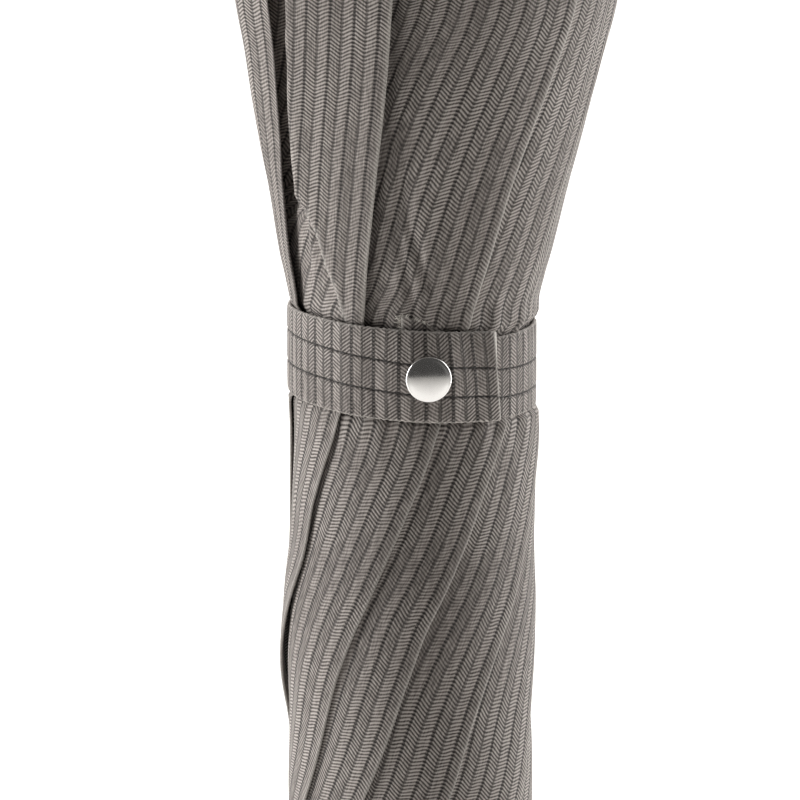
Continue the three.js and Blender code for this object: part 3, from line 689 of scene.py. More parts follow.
@dataclass
class Canopy:
    """Eight gores, each folded in two and wrapped round the closed frame."""

    roll: Roll = field(default_factory=Roll)
    foot: float = 72.0
    seam_top: float = 675.0
    fold_top: float = 637.0
    edge: float = 0.32  # half the thickness of a pressed fold
    hem: float = 0.3  # how far the hem is turned in
    half_width: float = 214.0
    half_length: float = 605.0
    fold_length: float = 565.0  # the hem curves in from the ribs' tips to the folds
    # Rows at the folds: from, to and step of each run
    row_runs: tuple[tuple[float, float, float], ...] = (
        (72.0, 120, 3.5), (120, 350, 6.0), (350, 440, 2.6), (440, 512, 1.3), (512, 580, 2.6),
        (580, 630.0, 5.0),
    )  # fmt: skip
    hem_rows: tuple[float, ...] = (5.2, 4.6, 3.0, 1.2, 0.5, 0.0)  # below the top of the fold
    # By height: depth of the hollow under the first fold, and the bearings of its left and right sides
    hollow: Knots = (
        (484, 0), (488, 0.6), (494, 1.4), (500, 2.0), (507, 2.7), (512, 3.4), (519, 6.5), (526, 9),
        (537, 11), (549, 12.3), (567, 13.5), (600, 9.5), (640, 5),
    )  # fmt: skip
    hollow_bearing: Knots = (
        (475, -63), (494, -68), (506, -68), (518, -72), (530, -74), (549, -72), (567, -70), (640, -74),
    )  # fmt: skip
    pucker: Knots = (
        (484, -31), (488, -33.4), (494, -36.5), (500, -41), (507, -44), (512, -47.5), (514.6, -50.5),
        (518, -53), (530, -50.4), (549, -47), (567, -43.3), (640, -38),
    )  # fmt: skip
    hollow_edge: Knots = ((484, 1.8), (512, 2.2), (520, 3.6), (567, 4.6), (640, 5))  # degrees
    # How far the first petal itself is pressed in
    first_press: Knots = (
        (490, 0), (506, 1.0), (518, 2.2), (530, 4.2), (549, 5.4), (567, 6.2), (600, 6.0), (640, 4),
    )  # fmt: skip
    # The second petal's shoulder, how proud its fold stands, and how far the cloth left of it gives way
    shoulder: Knots = (
        (484, -52), (518, -53), (530, -50.4), (549, -47), (567, -43.3), (640, -38),
    )  # fmt: skip
    proud: Knots = ((486, 0), (495, 0.9), (510, 2.2), (530, 3.4), (567, 4.6), (640, 4.2))
    stand: Knots = ((483, 0), (495, 1.0), (510, 2.0), (562, 3.0), (640, 3.0))
    # How steeply the cloth falls away behind a fold, and where columns crowd towards the pucker
    first_fall: Knots = ((150, 1.0), (300, 0.5), (470, 0.45), (500, 0.42), (562, 0.35), (640, 0.5))
    crowded: Knots = ((484, 0), (490, 1), (508, 1), (516, 0))

    def heights(self) -> Array:
        """Heights of the rows at the folds, closest together where the folds turn fastest."""
        runs = [np.arange(*run) for run in self.row_runs]
        return np.concatenate([*runs, self.fold_top - np.array(self.hem_rows)])

    def shares(self, outer: bool) -> Array:
        """Lists the places of the columns from the fold, 0, to the seam, 1.

        Args:
            outer: whether it is the half that shows, which has more of them.

        Returns:
            The places.
        """
        near = np.array([0, 0.0006, 0.0014, 0.0024, 0.0038, 0.006])
        if outer:
            return np.concatenate([near, np.arange(0.0095, 0.21, 0.0042), np.linspace(0.215, 1, 66)])
        return np.concatenate([near, np.linspace(0.012, 1, 70)])

    def valley(self, bearing: Array, z: Array) -> tuple[Array, Array, Array]:
        """Presses in the hollow under the first petal's fold, which ends in a slanting pucker over the strap.

        Args:
            bearing: degrees round from the front.
            z: heights.

        Returns:
            How far the roll beneath is pressed in, how far the first petal is, and how many degrees each
            point is to the left of the pucker.
        """
        floor, shoulder = curve(self.hollow_bearing, z), curve(self.pucker, z)
        left = step(floor - 18, floor, bearing)
        right = 1 - step(shoulder - curve(self.hollow_edge, z), shoulder + 0.4, bearing)
        beside = shoulder - bearing
        ridge = 0.45 * np.exp(-(((beside + 0.3) / 1.3) ** 2)) * step(485, 492, z) * (1 - step(514, 520, z))
        return curve(self.hollow, z) * left * right - ridge, curve(self.first_press, z) * left, beside

    def flatten(self, bearing: Array, z: Array) -> Array:
        """Draws the second petal tight and flat from its shoulder to its proud fold.

        Args:
            bearing: degrees round from the front.
            z: heights.

        Returns:
            How far the roll's round surface stands outside the flat petal.
        """
        roll = self.roll
        most = curve(roll.outline, z)
        fold, shoulder = roll.fold(2, z), curve(self.shoulder, z)
        out, low = most + curve(self.proud, z), most - 1.2
        whole, to_fold, past = (np.radians(v) for v in (fold - shoulder, fold - bearing, bearing - shoulder))
        line = out * low * np.sin(whole) / np.maximum(out * np.sin(past) + low * np.sin(to_fold), 1.0)
        inside = step(-3, 1.5, bearing - shoulder) * (bearing < fold + 2)
        return 0.65 * (most - line) * inside * step(486, 508, z)

    def ripple(self, bearing: Array, z: Array) -> Array:
        """Adds small slack waves, short gathers just above and below the strap, and two drag lines.

        Args:
            bearing: degrees round from the front.
            z: heights.

        Returns:
            How far the cloth stands out.
        """
        turn = np.radians(bearing - curve(self.roll.twist, z))
        slack = 0.10 * np.sin(5 * turn + 0.021 * z) + 0.08 * np.sin(11 * turn - 0.034 * z + 1.3)
        slack = slack + 0.05 * np.sin(23 * turn + 0.06 * z + 0.4)
        off = np.abs(z - self.roll.band_centre(bearing)) - self.roll.band_half
        near = np.exp(-np.maximum(off, 0) / 7.0) * step(-2.5, 1.0, off)
        front = step(-60, -30, bearing) * (1 - step(55, 80, bearing)) * 0.6 + 0.4
        a = np.radians(bearing)
        gather = 0.30 * np.sin(a * 22 + 0.10 * z) + 0.22 * np.sin(a * 37 - 0.17 * z + 2.0)
        # Two drag lines pull from the second fold down towards the press stud
        first = curve(((494, 8), (506, -0.8), (518, -7.2), (530, -11.5)), z)
        second = curve(((492, -1), (504, -6), (518, -12)), z)
        drag = 1.5 * np.exp(-(((bearing - first) / 2.0) ** 2)) * step(490, 498, z) * (1 - step(524, 536, z))
        short = 1.1 * np.exp(-(((bearing - second) / 1.7) ** 2)) * step(487, 494, z) * (1 - step(512, 522, z))
        return slack * (1 + step(500, 560, z)) + gather * near * front - (drag + short)

    def sink(self, petal: int, outer: bool, z: Array, share: Array, back: Array, most: Array) -> Array:
        """Lays a half gore down from the outermost folds to its seam.

        Args:
            petal: 1 to 8.
            outer: whether it is the half that shows.
            z: heights.
            share: the way from fold to seam, 0 to 1.
            back: degrees back from the fold.
            most: radii of the outermost folds.

        Returns:
            How far each point lies inside those folds.
        """
        full = self.roll.span(petal, z)
        wide, room = np.maximum(full, 1.0), most - self.roll.seam(z)
        knee = np.minimum(PETAL / wide, 0.5)
        low = knee * curve(self.first_fall, z)
        part = np.clip(np.abs(back) / wide, 0, 1)
        drop = room * np.where(part < knee, part / knee * low, low + (part - knee) / (1 - knee) * (1 - low))
        arc = np.abs(back) * np.radians(1) * most
        bend = np.sqrt(np.maximum(self.edge**2 - np.maximum(self.edge - arc, 0) ** 2, 0))
        if outer:
            return np.minimum(drop + self.edge - bend, room)
        # The half beneath keeps off its own outer half, and then off the next petal
        wrapped = step(50, 110, full)
        pitch = room / wide * PETAL
        gap = pitch * 0.42 * step(0, 0.06, share) + pitch * 0.58 * step(0.55, 1.0, share)
        under = drop + self.edge + bend + np.maximum(gap - self.edge, 0) * step(0, 0.03, share)
        drop = wrapped * under + (1 - wrapped) * (self.edge + (room - self.edge) * share)
        return np.minimum(drop, room)

    def flat_places(self, petal: int, back: Array, radius: Array) -> tuple[Array, Array, Array]:
        """Finds each point's place in the flat cloth, whose columns run beside the fold.

        Args:
            petal: 1 to 8.
            back: degrees back from the fold.
            radius: radii.

        Returns:
            How far each point is from the fold round the roll, and its places across and along the cloth.
        """
        arcs = np.diff(back, axis=1) * np.radians(1) * (radius[:, 1:] + radius[:, :-1]) / 2
        paces = np.hypot(arcs, np.diff(radius, axis=1))
        run = np.concatenate([np.zeros((len(paces), 1)), np.cumsum(paces, axis=1)], 1)
        line = self.heights()
        turning = np.gradient(np.radians(self.roll.fold(petal, line)), line)
        lean = np.arctan(turning * curve(self.roll.outline, line))
        lean = np.convolve(np.pad(lean, 2, mode="edge"), np.ones(5) / 5, "valid")
        climb = np.concatenate([[0], np.cumsum(np.diff(line) / np.cos((lean[1:] + lean[:-1]) / 2))])
        return run, run * np.cos(lean[:, None]), climb[:, None] - run * np.sin(lean[:, None])

    def half(self, petal: int, outer: bool) -> tuple[Array, Array, Array, Array]:
        """Lays one half of a gore in the roll.

        Args:
            petal: 1 to 8.
            outer: whether it is the half that shows, from its rib to its fold, or the half that goes
                back beneath it to the next rib.

        Returns:
            Its points, their (across, along) places in the flat cloth in metres, each point's share of
            the way from fold to seam, and how much pale tint it gets, partly wear and partly painted
            highlight.
        """
        roll = self.roll
        fold_z, share = np.meshgrid(self.heights(), self.shares(outer), indexing="ij")
        seam_z = self.foot + (fold_z - self.foot) * (self.seam_top - self.foot) / (self.fold_top - self.foot)
        z = fold_z + (seam_z - fold_z) * share**2
        full = roll.span(petal, z)
        back = (full if outer else full - PETAL) * share
        bearing = roll.fold(petal, z) - back
        most, seam = roll.radius(z, bearing), roll.seam(z)
        radius = most - self.sink(petal, outer, z, share, back, most)
        # Dents press every layer alike, so that none passes through the next
        depth_share = (radius - seam) / np.maximum(most - seam, 0.1)
        away = (bearing - roll.fold(2, z) + 180) % 360 - 180
        beneath = step(12, 34, back) if petal == 2 else 1.0
        beside_fold = curve(self.stand, z) * step(-9, -1, away) * (1 - step(3, 30, away)) * beneath
        front = (bearing + 180) % 360 - 180
        hollow, above, beside = self.valley(front, z)
        if petal == 1:
            hollow = above if outer else above + (hollow - above) * step(2, 12, back)
        flat_petal = self.flatten(front, z)
        proud = np.maximum(-flat_petal, 0) * (back < 60) if petal == 2 else 0.0
        press = hollow + beside_fold + np.maximum(flat_petal, 0)
        radius = radius - press * depth_share + (self.ripple(front, z) + proud) * depth_share**2
        hem = 1 - step(self.fold_top - 4.4, self.fold_top - 4.9, fold_z)
        radius = radius + hem * (self.hem if outer else -self.hem)
        points = round_axis(radius, bearing, z, curve(roll.sway, z) * depth_share)
        run, across, along = self.flat_places(petal, back, radius)
        # Pale tint along each fold's edge, partly worn and partly painted highlight; less on the first petal
        # above the strap, whose fold lies in shade
        wear_and_highlight = np.exp(-((run / 0.75) ** 2)) * (0.7 + (0.3 if petal > 1 else -0.6) * step(480, 500, z))
        if petal == 2 and outer:
            # Columns crowd together towards the pucker, whose ridge gets a painted highlight too
            crowded = curve(self.crowded, z)
            across = across - 0.34 * crowded * np.clip(beside, 0, 34) * np.radians(1) * radius
            wear_and_highlight = np.maximum(wear_and_highlight, 0.8 * crowded * np.exp(-(((beside + 0.2) / 0.9) ** 2)))
        uv = np.stack([across if outer else -across, along + 2.37 * petal], -1) * MM
        return points, uv, share, wear_and_highlight

    def build(self, cloth: Material) -> list[Object]:
        """Makes the sixteen half gores, each bending from its rib to its fold.

        Args:
            cloth: the canopy's finish.

        Returns:
            The half gores.
        """
        made = []
        for petal in range(1, self.roll.ribs + 1):
            for outer in (True, False):
                side = "outer" if outer else "inner"
                rib = petal if outer else petal % self.roll.ribs + 1
                points, uv, share, wear_and_highlight = self.half(petal, outer)
                rows, columns = share.shape
                faces = grid_faces(rows, columns, flip=outer)
                obj = make_mesh(f"canopy_{petal}_{side}", points, faces, cloth, uv)
                body = f"gore_{petal}_{side}"
                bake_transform(obj, f"rib_{rib}", body, start=(0, 0, 0), end=(0, 0, 0.1))
                # The cloth moves with its rib at the seam and with its own body at the fold
                weight = 1 - share.ravel()
                weight = weight * weight * (3 - 2 * weight)
                blend = obj.data.attributes["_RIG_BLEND"].data
                blend.foreach_set("value", weight.astype(np.float32))
                # The finish paints this pale: partly wear, partly painted highlight
                paint(obj, "wear_and_highlight", wear_and_highlight)
                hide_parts(body)
                made.append(obj)
        return made


# ---- The tie strap and its press stud ----
@dataclass
class TieStrap:
    """A doubled band of the canopy's cloth with two rows of stitching.

    Its root is sewn to the third gore, and its end snaps over the root.
    """

    roll: Roll = field(default_factory=Roll)
    width: float = 22.0
    back_width: float = 20.4
    thickness: float = 1.1
    root: float = -5.0
    hinge: float = -22.8
    end: float = 39.0
    inner: float = 29.3
    tab_inner: float = 30.55
    stud_bearing: float = 6.7
    stud_drop: float = -0.6
    puff: float = 1.55  # how far the tab stands out over the stud
    # Each row of stitching's height from the middle, and its sway round the band
    rows: tuple[tuple[float, float], ...] = ((3.0, -1.5), (-4.2, -1.0))
    stitch: float = 2.1
    stitch_gap: float = 0.45
    thread: float = 0.17  # its radius
    groove: float = 0.42  # how far a row of stitching draws the band in
    loose_yarns: int = 46
    yarn: float = 0.15  # a loose yarn's radius
    root_half: float = 10.1  # half the width of the cut root
    hem: float = 4.5  # how far the free end is turned under
    radius: float = 31.0  # by which bearings are turned into lengths
    loop_length: float = 185.0
    tab_length: float = 35.0
    root_slant: Knots = (
        (-5, 4.2), (4, 3.0), (14, 0.9), (26, -0.4), (39, -0.8), (90, -0.2), (180, 0), (280, 0), (360, 0),
    )  # fmt: skip

    def centre(self, bearing: Array, tab: bool) -> Array:
        """Height of the band's middle. The root slants across under the tab."""
        level = self.roll.band_centre(bearing)
        return level if tab else level + curve(self.root_slant, bearing)

    def breadth(self, bearing: Array, tab: bool) -> Array:
        """Finds the width of the band, a little narrower round the back.

        Args:
            bearing: degrees round from the front.
            tab: whether it is the free end over the root.

        Returns:
            Widths.
        """
        if tab:
            return self.width + 0 * bearing
        back, front = (60, self.back_width), (337, self.width)
        return curve(((-5, 20.2), (39, 19.8), back, (270, 21.0), (300, 21.6), front), bearing)

    def inside(self, bearing: Array, off: Array, tab: bool) -> Array:
        """Finds the radius of the band's inner face.

        Args:
            bearing: degrees round from the front.
            off: heights from the band's middle.
            tab: whether it is the free end over the root.

        Returns:
            Radii.
        """
        front = np.asarray(bearing, float)
        if not tab:
            return self.inner + (self.tab_inner - self.inner) * step(312, 337.2, front)
        away = np.hypot(np.radians(front - self.stud_bearing) * self.radius, off - self.stud_drop)
        return self.tab_inner + self.puff * (1 - step(4.6, 15, away)) + 0.6 * step(30, 39, front)

    def row(self, number: int, bearing: Array, tab: bool) -> Array:
        """Place of a row of stitching across the band, from -1 to 1."""
        height, sway = self.rows[number]
        return (height + sway * np.sin(np.radians(bearing))) / (self.breadth(bearing, tab) / 2)

    def near_rows(self, bearing: Array, across: Array, tab: bool, reach: float) -> Array:
        """How near each point is to a row of stitching, from 0 to 1."""
        rows = range(len(self.rows))
        return sum(np.exp(-(((across - self.row(k, bearing, tab)) / reach) ** 2)) for k in rows)

    def section(self) -> tuple[Array, Array]:
        """Draws the outline of the band's cut, with more points where the stitching lies.

        Returns:
            Places across it from -1 to 1, and depths from 0, its inner face, to 1, its outer face.
        """
        a = np.linspace(-math.pi / 2, math.pi / 2, 7)[1:-1]
        tip = 0.5 * self.thickness / (self.width / 2)
        knots = ((-1 + tip, 10), (-0.52, 30), (-0.24, 10), (0.10, 36), (0.45, 13), (1 - tip, 1))
        pairs = zip(knots, knots[1:])
        runs = [np.linspace(low, high, count, endpoint=False) for (low, count), (high, _) in pairs]
        fine = np.concatenate([*runs, [1 - tip]])
        plain = np.linspace(1 - tip, -1 + tip, 12)
        edge, flat = 0.5 + 0.5 * np.sin(a), np.zeros_like(plain)
        across = np.concatenate([fine, 1 - tip + tip * np.cos(a[::-1]), plain, -1 + tip - tip * np.cos(a)])
        return across, np.concatenate([np.ones_like(fine), edge[::-1], flat, edge])

    def outside(self, bearing: Array, across: Array, tab: bool) -> Array:
        """Finds the radius of the band's outer face.

        Args:
            bearing: degrees round from the front.
            across: places across it from -1 to 1.
            tab: whether it is the free end over the root.

        Returns:
            Radii.
        """
        half = self.breadth(bearing, tab) / 2
        fold = self.end - self.hem / (np.radians(1) * self.radius)
        doubled = 0.30 * step(fold - 0.6, fold + 0.3, bearing) if tab else 0.0
        a = np.radians(bearing)
        wave = 0.05 * np.sin(a * 41) * across + 0.04 * np.sin(a * 67 + 2 * across)
        rows = self.groove * self.near_rows(bearing, across, tab, 0.026)
        face = self.inside(bearing, across * half, tab) + self.thickness
        return face + doubled - rows + wave - 0.10 * np.abs(across) ** 6

    def band(self, name: str, start: float, stop: float, tab: bool, cloth: Material) -> Object:
        """Makes one length of the band.

        Args:
            name: the piece's name.
            start: its first bearing.
            stop: its last bearing.
            tab: whether it is the free end.
            cloth: its finish.

        Returns:
            The piece.
        """
        section, depth = self.section()
        line = np.linspace(start, stop, int(abs(stop - start) / 0.9) + 1)
        bearing, across = np.meshgrid(line, section, indexing="ij")
        half = self.breadth(bearing, tab) / 2
        outer, inner = self.outside(bearing, across, tab), self.inside(bearing, across * half, tab)
        ragged = 0.10 * np.sin(bearing * 1.9) + 0.07 * np.sin(bearing * 4.3 + 1)
        z = self.centre(bearing, tab) + across * (half + ragged)
        # The tab's end is cut a little askew
        askew = 2.2 / (self.width * np.radians(1) * self.radius) * (-across * half)
        slant = askew * step(start + 20, stop, bearing) if tab else 0.0
        points = round_axis(inner + (outer - inner) * depth, bearing + slant, z)
        if tab:
            # The end is turned under, so it closes in a round edge
            close = points[-1] * 0.35 + points[-1].mean(0) * 0.65
            close[:, 2] = points[-1][:, 2]
            points = np.concatenate([points, close[None]])
            bearing = np.concatenate([bearing, bearing[-1:] + 0.6])
            across, z = (np.concatenate([v, v[-1:]]) for v in (across, z))
        uv = np.stack([np.radians(bearing) * self.radius, z - self.roll.strap_z], -1) * MM
        cut = 1 - step(start + 0.6, start + 1.4, bearing)
        tip = step(self.end - 1.0, self.end - 0.4, bearing)
        rows, columns = bearing.shape
        cap = [(rows - 1) * columns + k for k in range(columns)] if tab else list(range(columns))[::-1]
        obj = make_mesh(name, points, grid_faces(rows, columns, wrap_columns=True) + [cap], cloth, uv)
        # Painted shade along each row of stitching, which the finish reads as seam
        paint(obj, "seam", self.near_rows(bearing, across, tab, 0.021))
        # Pale tint along the band's edges, the tab's turned end and the root's cut: partly worn yarn, partly
        # painted highlight
        paint(obj, "wear_and_highlight", np.maximum(0.6 * step(0.955, 0.99, np.abs(across)), tip if tab else cut))
        return obj

    def stitches(self, name: str, start: float, stop: float, tab: bool, thread: Material) -> Object:
        """Makes both rows of stitching on one length of the band.

        Args:
            name: the piece's name.
            start: its first bearing.
            stop: its last bearing.
            tab: whether it is the free end.
            thread: its finish.

        Returns:
            The piece.
        """
        made = []
        pitch = np.degrees((self.stitch + self.stitch_gap) / self.radius)
        reach = np.degrees(self.stitch / self.radius)
        rise = self.thread * np.array([-1.4, 0.25, 0.5, 0.5, 0.25, -1.4])
        for number in range(len(self.rows)):
            for first in np.arange(start + 0.4, stop - reach - 0.4, pitch):
                line = first + np.linspace(0, reach, len(rise))
                place = self.row(number, line, tab)
                z = self.centre(line, tab) + place * self.breadth(line, tab) / 2
                path = round_axis(self.outside(line, place, tab) + rise, line, z)
                made.append(swept(path, self.thread, 6))
        return make_mesh(name, *joined(made), thread)

    def fray(self, yarn: Material) -> Object:
        """Makes the loose yarns at the root's cut end, which shows above the tab.

        Args:
            yarn: their finish.

        Returns:
            The piece.
        """
        chance = np.random.default_rng(7)
        made = []
        t = np.linspace(0, 1, 5)
        for k in range(self.loose_yarns):
            along_top = k % 3 != 0
            bearing = self.root + (chance.uniform(0, 15) if along_top else chance.uniform(-0.6, 0.4))
            top = self.centre(np.array(bearing), False) + self.root_half
            top = top if along_top else top - chance.uniform(0, 3.4)
            lean, lift = chance.uniform(-1.6, 1.6), chance.uniform(0.3, 1.1) * (0.6 if along_top else 1.2)
            out = self.inner + self.thickness * 0.6 + chance.uniform(-0.3, 0.5) * t
            side = bearing + (lean * t**2 if along_top else -2.2 * t * lift)
            z = top - 0.5 + (lift + 0.5) * t if along_top else top + lean * 0.4 * t
            made.append(swept(round_axis(out, side, z), self.yarn * (1 - 0.5 * t), 5))
        return make_mesh("strap_fray", *joined(made), yarn)

    def build(self, cloth: Material, thread: Material, yarn: Material) -> list[Object]:
        """Makes the band, its stitching and its frayed root.

        Args:
            cloth: the band's finish.
            thread: the stitching's finish.
            yarn: the loose yarns' finish.

        Returns:
            The pieces.
        """
        stop = 360 + self.hinge
        loop = self.band("strap_band", self.root, stop, False, cloth)
        tab = self.band("strap_free_end", self.hinge, self.end, True, cloth)
        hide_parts("strap_loop")
        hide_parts("strap_tab")
        seams = self.stitches("strap_band_stitching", self.root + 1, stop, False, thread)
        with_loop = [seams, self.fray(yarn)]
        with_tab = [self.stitches("strap_free_end_stitching", self.hinge, self.end, True, thread)]
        # Each length of the strap is attached to the body it moves with: the band to the third gore, the free
        # end to the tab
        for group, body, anchor, keep in (
            ([loop, *with_loop], "gore_3_outer", (-0.0026, -0.0299, 0.475), 0.06),
            ([tab, *with_tab], "strap_tab", (-0.0028, -0.0318, 0.475), 0.12),
        ):
            for obj in group:
                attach(obj, body)
                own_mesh(obj)
                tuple(anchor)
        return [loop, *with_loop, tab, *with_tab]


@dataclass
class PressStud:
    """A nickel-plated press stud: a domed cap on the tab. The rest of it is as the frame has it."""

    strap: TieStrap = field(default_factory=TieStrap)
    lip: float = 0.30  # how far the cap's foot stands off the cloth
    tilt: float = -1.0
    sides: int = 72
    profile: Knots = (
        (0.0, 1.62), (0.8, 1.60), (1.7, 1.53), (2.6, 1.40), (3.4, 1.22), (4.1, 1.0), (4.6, 0.78),
        (4.85, 0.62), (5.05, 0.56), (5.25, 0.50), (5.42, 0.34), (5.5, 0.10), (5.46, -0.12), (5.3, -0.28),
        (5.0, -0.32),
    )  # fmt: skip

    def build(self, nickel: Material) -> Object:
        """Makes the cap.

        Args:
            nickel: its finish.

        Returns:
            The cap.
        """
        low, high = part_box("snap_cap")
        a, tilt = math.radians(self.strap.stud_bearing), math.radians(self.tilt)
        out, side = np.array([math.sin(a), -math.cos(a), 0.0]), np.array([math.cos(a), math.sin(a), 0.0])
        up = np.array([0.0, 0.0, 1.0])
        up, out = up * math.cos(tilt) + out * math.sin(tilt), out * math.cos(tilt) - up * math.sin(tilt)
        base = out * (self.strap.tab_inner + self.strap.puff + self.strap.thickness + self.lip)
        base[2] = (low + high)[2] / 2 / MM
        r, h = np.array(self.profile[1:], float).T
        turn = np.arange(self.sides) * 2 * math.pi / self.sides
        ring = side[None] * np.cos(turn)[:, None] + up[None] * np.sin(turn)[:, None]
        points = (base + ring[None] * r[:, None, None] + out * h[:, None, None]).reshape(-1, 3)
        crown = len(points)
        points = np.concatenate([points, [base + out * self.profile[0][1]]])
        faces = grid_faces(len(r), self.sides, wrap_columns=True, flip=True)
        faces += [[crown, k, (k + 1) % self.sides] for k in range(self.sides)]
        faces.append([crown - 1 - k for k in range(self.sides)])
        cap = make_mesh("snap_cap_dome", points, faces, nickel)
        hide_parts("snap_cap")
        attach(cap, "strap_tab")
        return cap


# ---- Handle, shaft and fittings ----
@dataclass
class CrookHandle:
    """A bent chestnut crook with a rounded nose, and the metal collar at its foot."""

    radius: float = 10.5
    foot: float = 703.3
    bend_z: float = 833.3
    crook: float = 38.0
    drop: float = 26.0
    collar_low: float = 691.0
    collar_low: float = 691.0
    collar_high: float = 703.0
    collar_bore: float = 5.8
    nose: float = 6.2  # how far the rounded nose reaches beyond the crook's round stretch
    sides: int = 48

    def path(self) -> Array:
        """Draws the crook's centreline.

        Returns:
            Points from its foot to its nose.
        """
        rise = np.stack([np.zeros(26), np.zeros(26), np.linspace(self.foot, self.bend_z, 26)], 1)
        a = np.linspace(0, math.pi, 61)[1:]
        over = np.stack([self.crook * (1 - np.cos(a)), 0 * a, self.bend_z + self.crook * np.sin(a)], 1)
        fall = self.bend_z - np.linspace(0, self.drop, 9)[1:]
        down = np.stack([np.full(8, 2 * self.crook), np.zeros(8), fall], 1)
        return np.concatenate([rise, over, down])

    def build(self, wood: Material, nickel: Material) -> list[Object]:
        """Makes the crook and its collar.

        Args:
            wood: the crook's finish.
            nickel: the collar's finish.

        Returns:
            The crook and the collar.
        """
        path = self.path()
        # Both ends are rounded over: the foot a little, the nose to a flat dome
        nose = np.linspace(0, math.pi / 2, 9)[1:]
        tip = path[-1] + np.stack([0 * nose, 0 * nose, -self.nose * np.sin(nose)], 1)
        shrink = self.radius * np.maximum(np.cos(nose), 0.03) ** 0.8
        radius = np.concatenate([[self.radius - 0.6], np.full(len(path), self.radius), shrink])
        path = np.concatenate([path[:1], path[:1] + [[0, 0, 0.5]], path[1:], tip])
        points, faces = swept(path, radius, self.sides)
        length = np.concatenate([[0], np.cumsum(np.linalg.norm(np.diff(path, axis=0), axis=1))])[:, None]
        a = np.arange(self.sides) * 2 * math.pi / self.sides
        ring = radius[:, None]
        grain = np.stack(np.broadcast_arrays(ring * np.cos(a), ring * np.sin(a), length), -1)
        crook = make_mesh("crook_handle", points, faces, wood)
        attribute = crook.data.attributes.new("grain", "FLOAT_VECTOR", "POINT")
        attribute.data.foreach_set("vector", (grain * MM).ravel())
        low, high, out, bore = self.collar_low, self.collar_high, self.radius, self.collar_bore
        collar = turned("crook_collar", rounded([
            (bore, low), (out - 1.2, low), (out - 0.6, low + 1.0), (out + 0.7, low + 1.2),
            (out + 0.7, low + 3.0), (out + 0.15, low + 3.3), (out + 0.15, high - 3.3),
            (out + 0.7, high - 3.0), (out + 0.7, high - 0.6), (out, high), (bore, high),
        ], 0.35), nickel, 96)  # fmt: skip
        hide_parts("handle")
        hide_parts("handle_collar")
        for obj in (crook, collar):
            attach(obj, "stick")
        return [crook, collar]


@dataclass
class StickFittings:
    """The shaft with its ferrule, tip, crown cap and cloth rosette."""

    shaft_r: float = 5.5
    shaft_wall: float = 0.8
    rosette_r: float = 13.5
    rosette_inner: float = 5.9
    rosette_low: float = 67.45
    rosette_high: float = 67.75
    pinking: float = 0.9  # depth of the rosette's teeth
    rosette_share: float = 0.8  # of a full disc, after the hole and the teeth

    def rosette(self, cloth: Material) -> Object:
        """Makes the pinked disc of cloth between the cap and the canopy.

        Args:
            cloth: its finish.

        Returns:
            The disc.
        """
        sides, rings = 144, 12
        a = np.arange(sides) * 360 / sides
        out = np.linspace(0, 1, rings)[:, None]
        tooth = np.abs((np.arange(sides) / 4) % 1 - 0.5) * 2
        r = self.rosette_inner + (self.rosette_r - 0.4 - self.rosette_inner - self.pinking * tooth) * out
        wave = 0.30 * out**2 * np.sin(np.radians(a * 7)) + 0.12 * out**2 * np.sin(np.radians(a * 17) + 1)
        top = round_axis(r, a[None], self.rosette_high + wave)
        under = round_axis(r[::-1], a[None], self.rosette_low + wave[::-1])
        points = np.concatenate([top, under])
        faces = grid_faces(2 * rings, sides, wrap_rows=True, wrap_columns=True, flip=True)
        obj = make_mesh("crown_rosette_cloth", points, faces, cloth, points[..., :2] * MM)
        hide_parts("crown_rosette")
        return obj

    def build(self, enamel: Material, nickel: Material, plastic: Material, cloth: Material) -> list[Object]:
        """Makes the shaft and its fittings.

        Args:
            enamel: the shaft's finish.
            nickel: the finish of the ferrule and the cap.
            plastic: the tip's finish.
            cloth: the rosette's finish.

        Returns:
            The pieces.
        """
        r, bore = self.shaft_r, self.shaft_r - self.shaft_wall
        shaft = turned("shaft_tube", rounded([(bore, 34), (r, 34), (r, 748), (bore, 748)], 0.2), enamel, 48)
        ferrule = turned("ferrule_sleeve", rounded([
            (1.9, 15.3), (4.0, 15.3), (4.1, 16.6), (5.2, 17.4), (5.35, 18.6), (5.9, 34), (7.0, 52),
            (7.55, 55.5), (7.8, 56.2), (7.8, 58.2), (7.4, 59), (5.8, 59), (5.8, 33.6), (1.9, 33.6),
        ], 0.3), nickel, 72)  # fmt: skip
        tip = turned("ferrule_shoe", rounded([
            (0.15, 0.0), (2.6, 0.0), (3.4, 0.5), (3.75, 1.6), (3.9, 4.0), (3.9, 5.0), (3.55, 5.4),
            (3.55, 6.0), (3.9, 6.4), (3.9, 12.6), (3.6, 15), (1.9, 15), (1.9, 7.0), (0.15, 7.0),
        ], 0.25), plastic, 60)  # fmt: skip
        cap = turned("crown_cap_dome", rounded([
            (5.8, 60.7), (7.6, 60.75), (8.9, 61.4), (9.8, 62.6), (10.3, 64.2), (10.5, 65.8), (10.5, 66.7),
            (5.8, 66.7),
        ], 0.5), nickel, 72)  # fmt: skip
        for obj, node, slot in (
            (shaft, "shaft", "black_steel"),
            (ferrule, "ferrule", "nickel"),
            (tip, "ferrule_tip", "black_plastic"),
            (cap, "crown_cap", "nickel"),
        ):
            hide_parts(node)
        pieces = [shaft, ferrule, tip, cap, self.rosette(cloth)]
        for obj in pieces:
            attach(obj, "stick")
        return pieces


@dataclass
class RibFrame:
    """The folded ribs, stretchers, runner, catches and crown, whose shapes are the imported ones."""

    def dress(self, finishes: dict[str, Material]) -> list[Object]:
        """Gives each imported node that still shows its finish.

        Args:
            finishes: a material for each of the record's slots.

        Returns:
            The nodes.
        """
        dressed = []
        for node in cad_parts.values():
            slot = node.data.materials[0].name.split(".")[0]
            node.data.materials[0] = finishes[slot]
            if not node.hide_render:
                dressed.append(node)
        return dressed


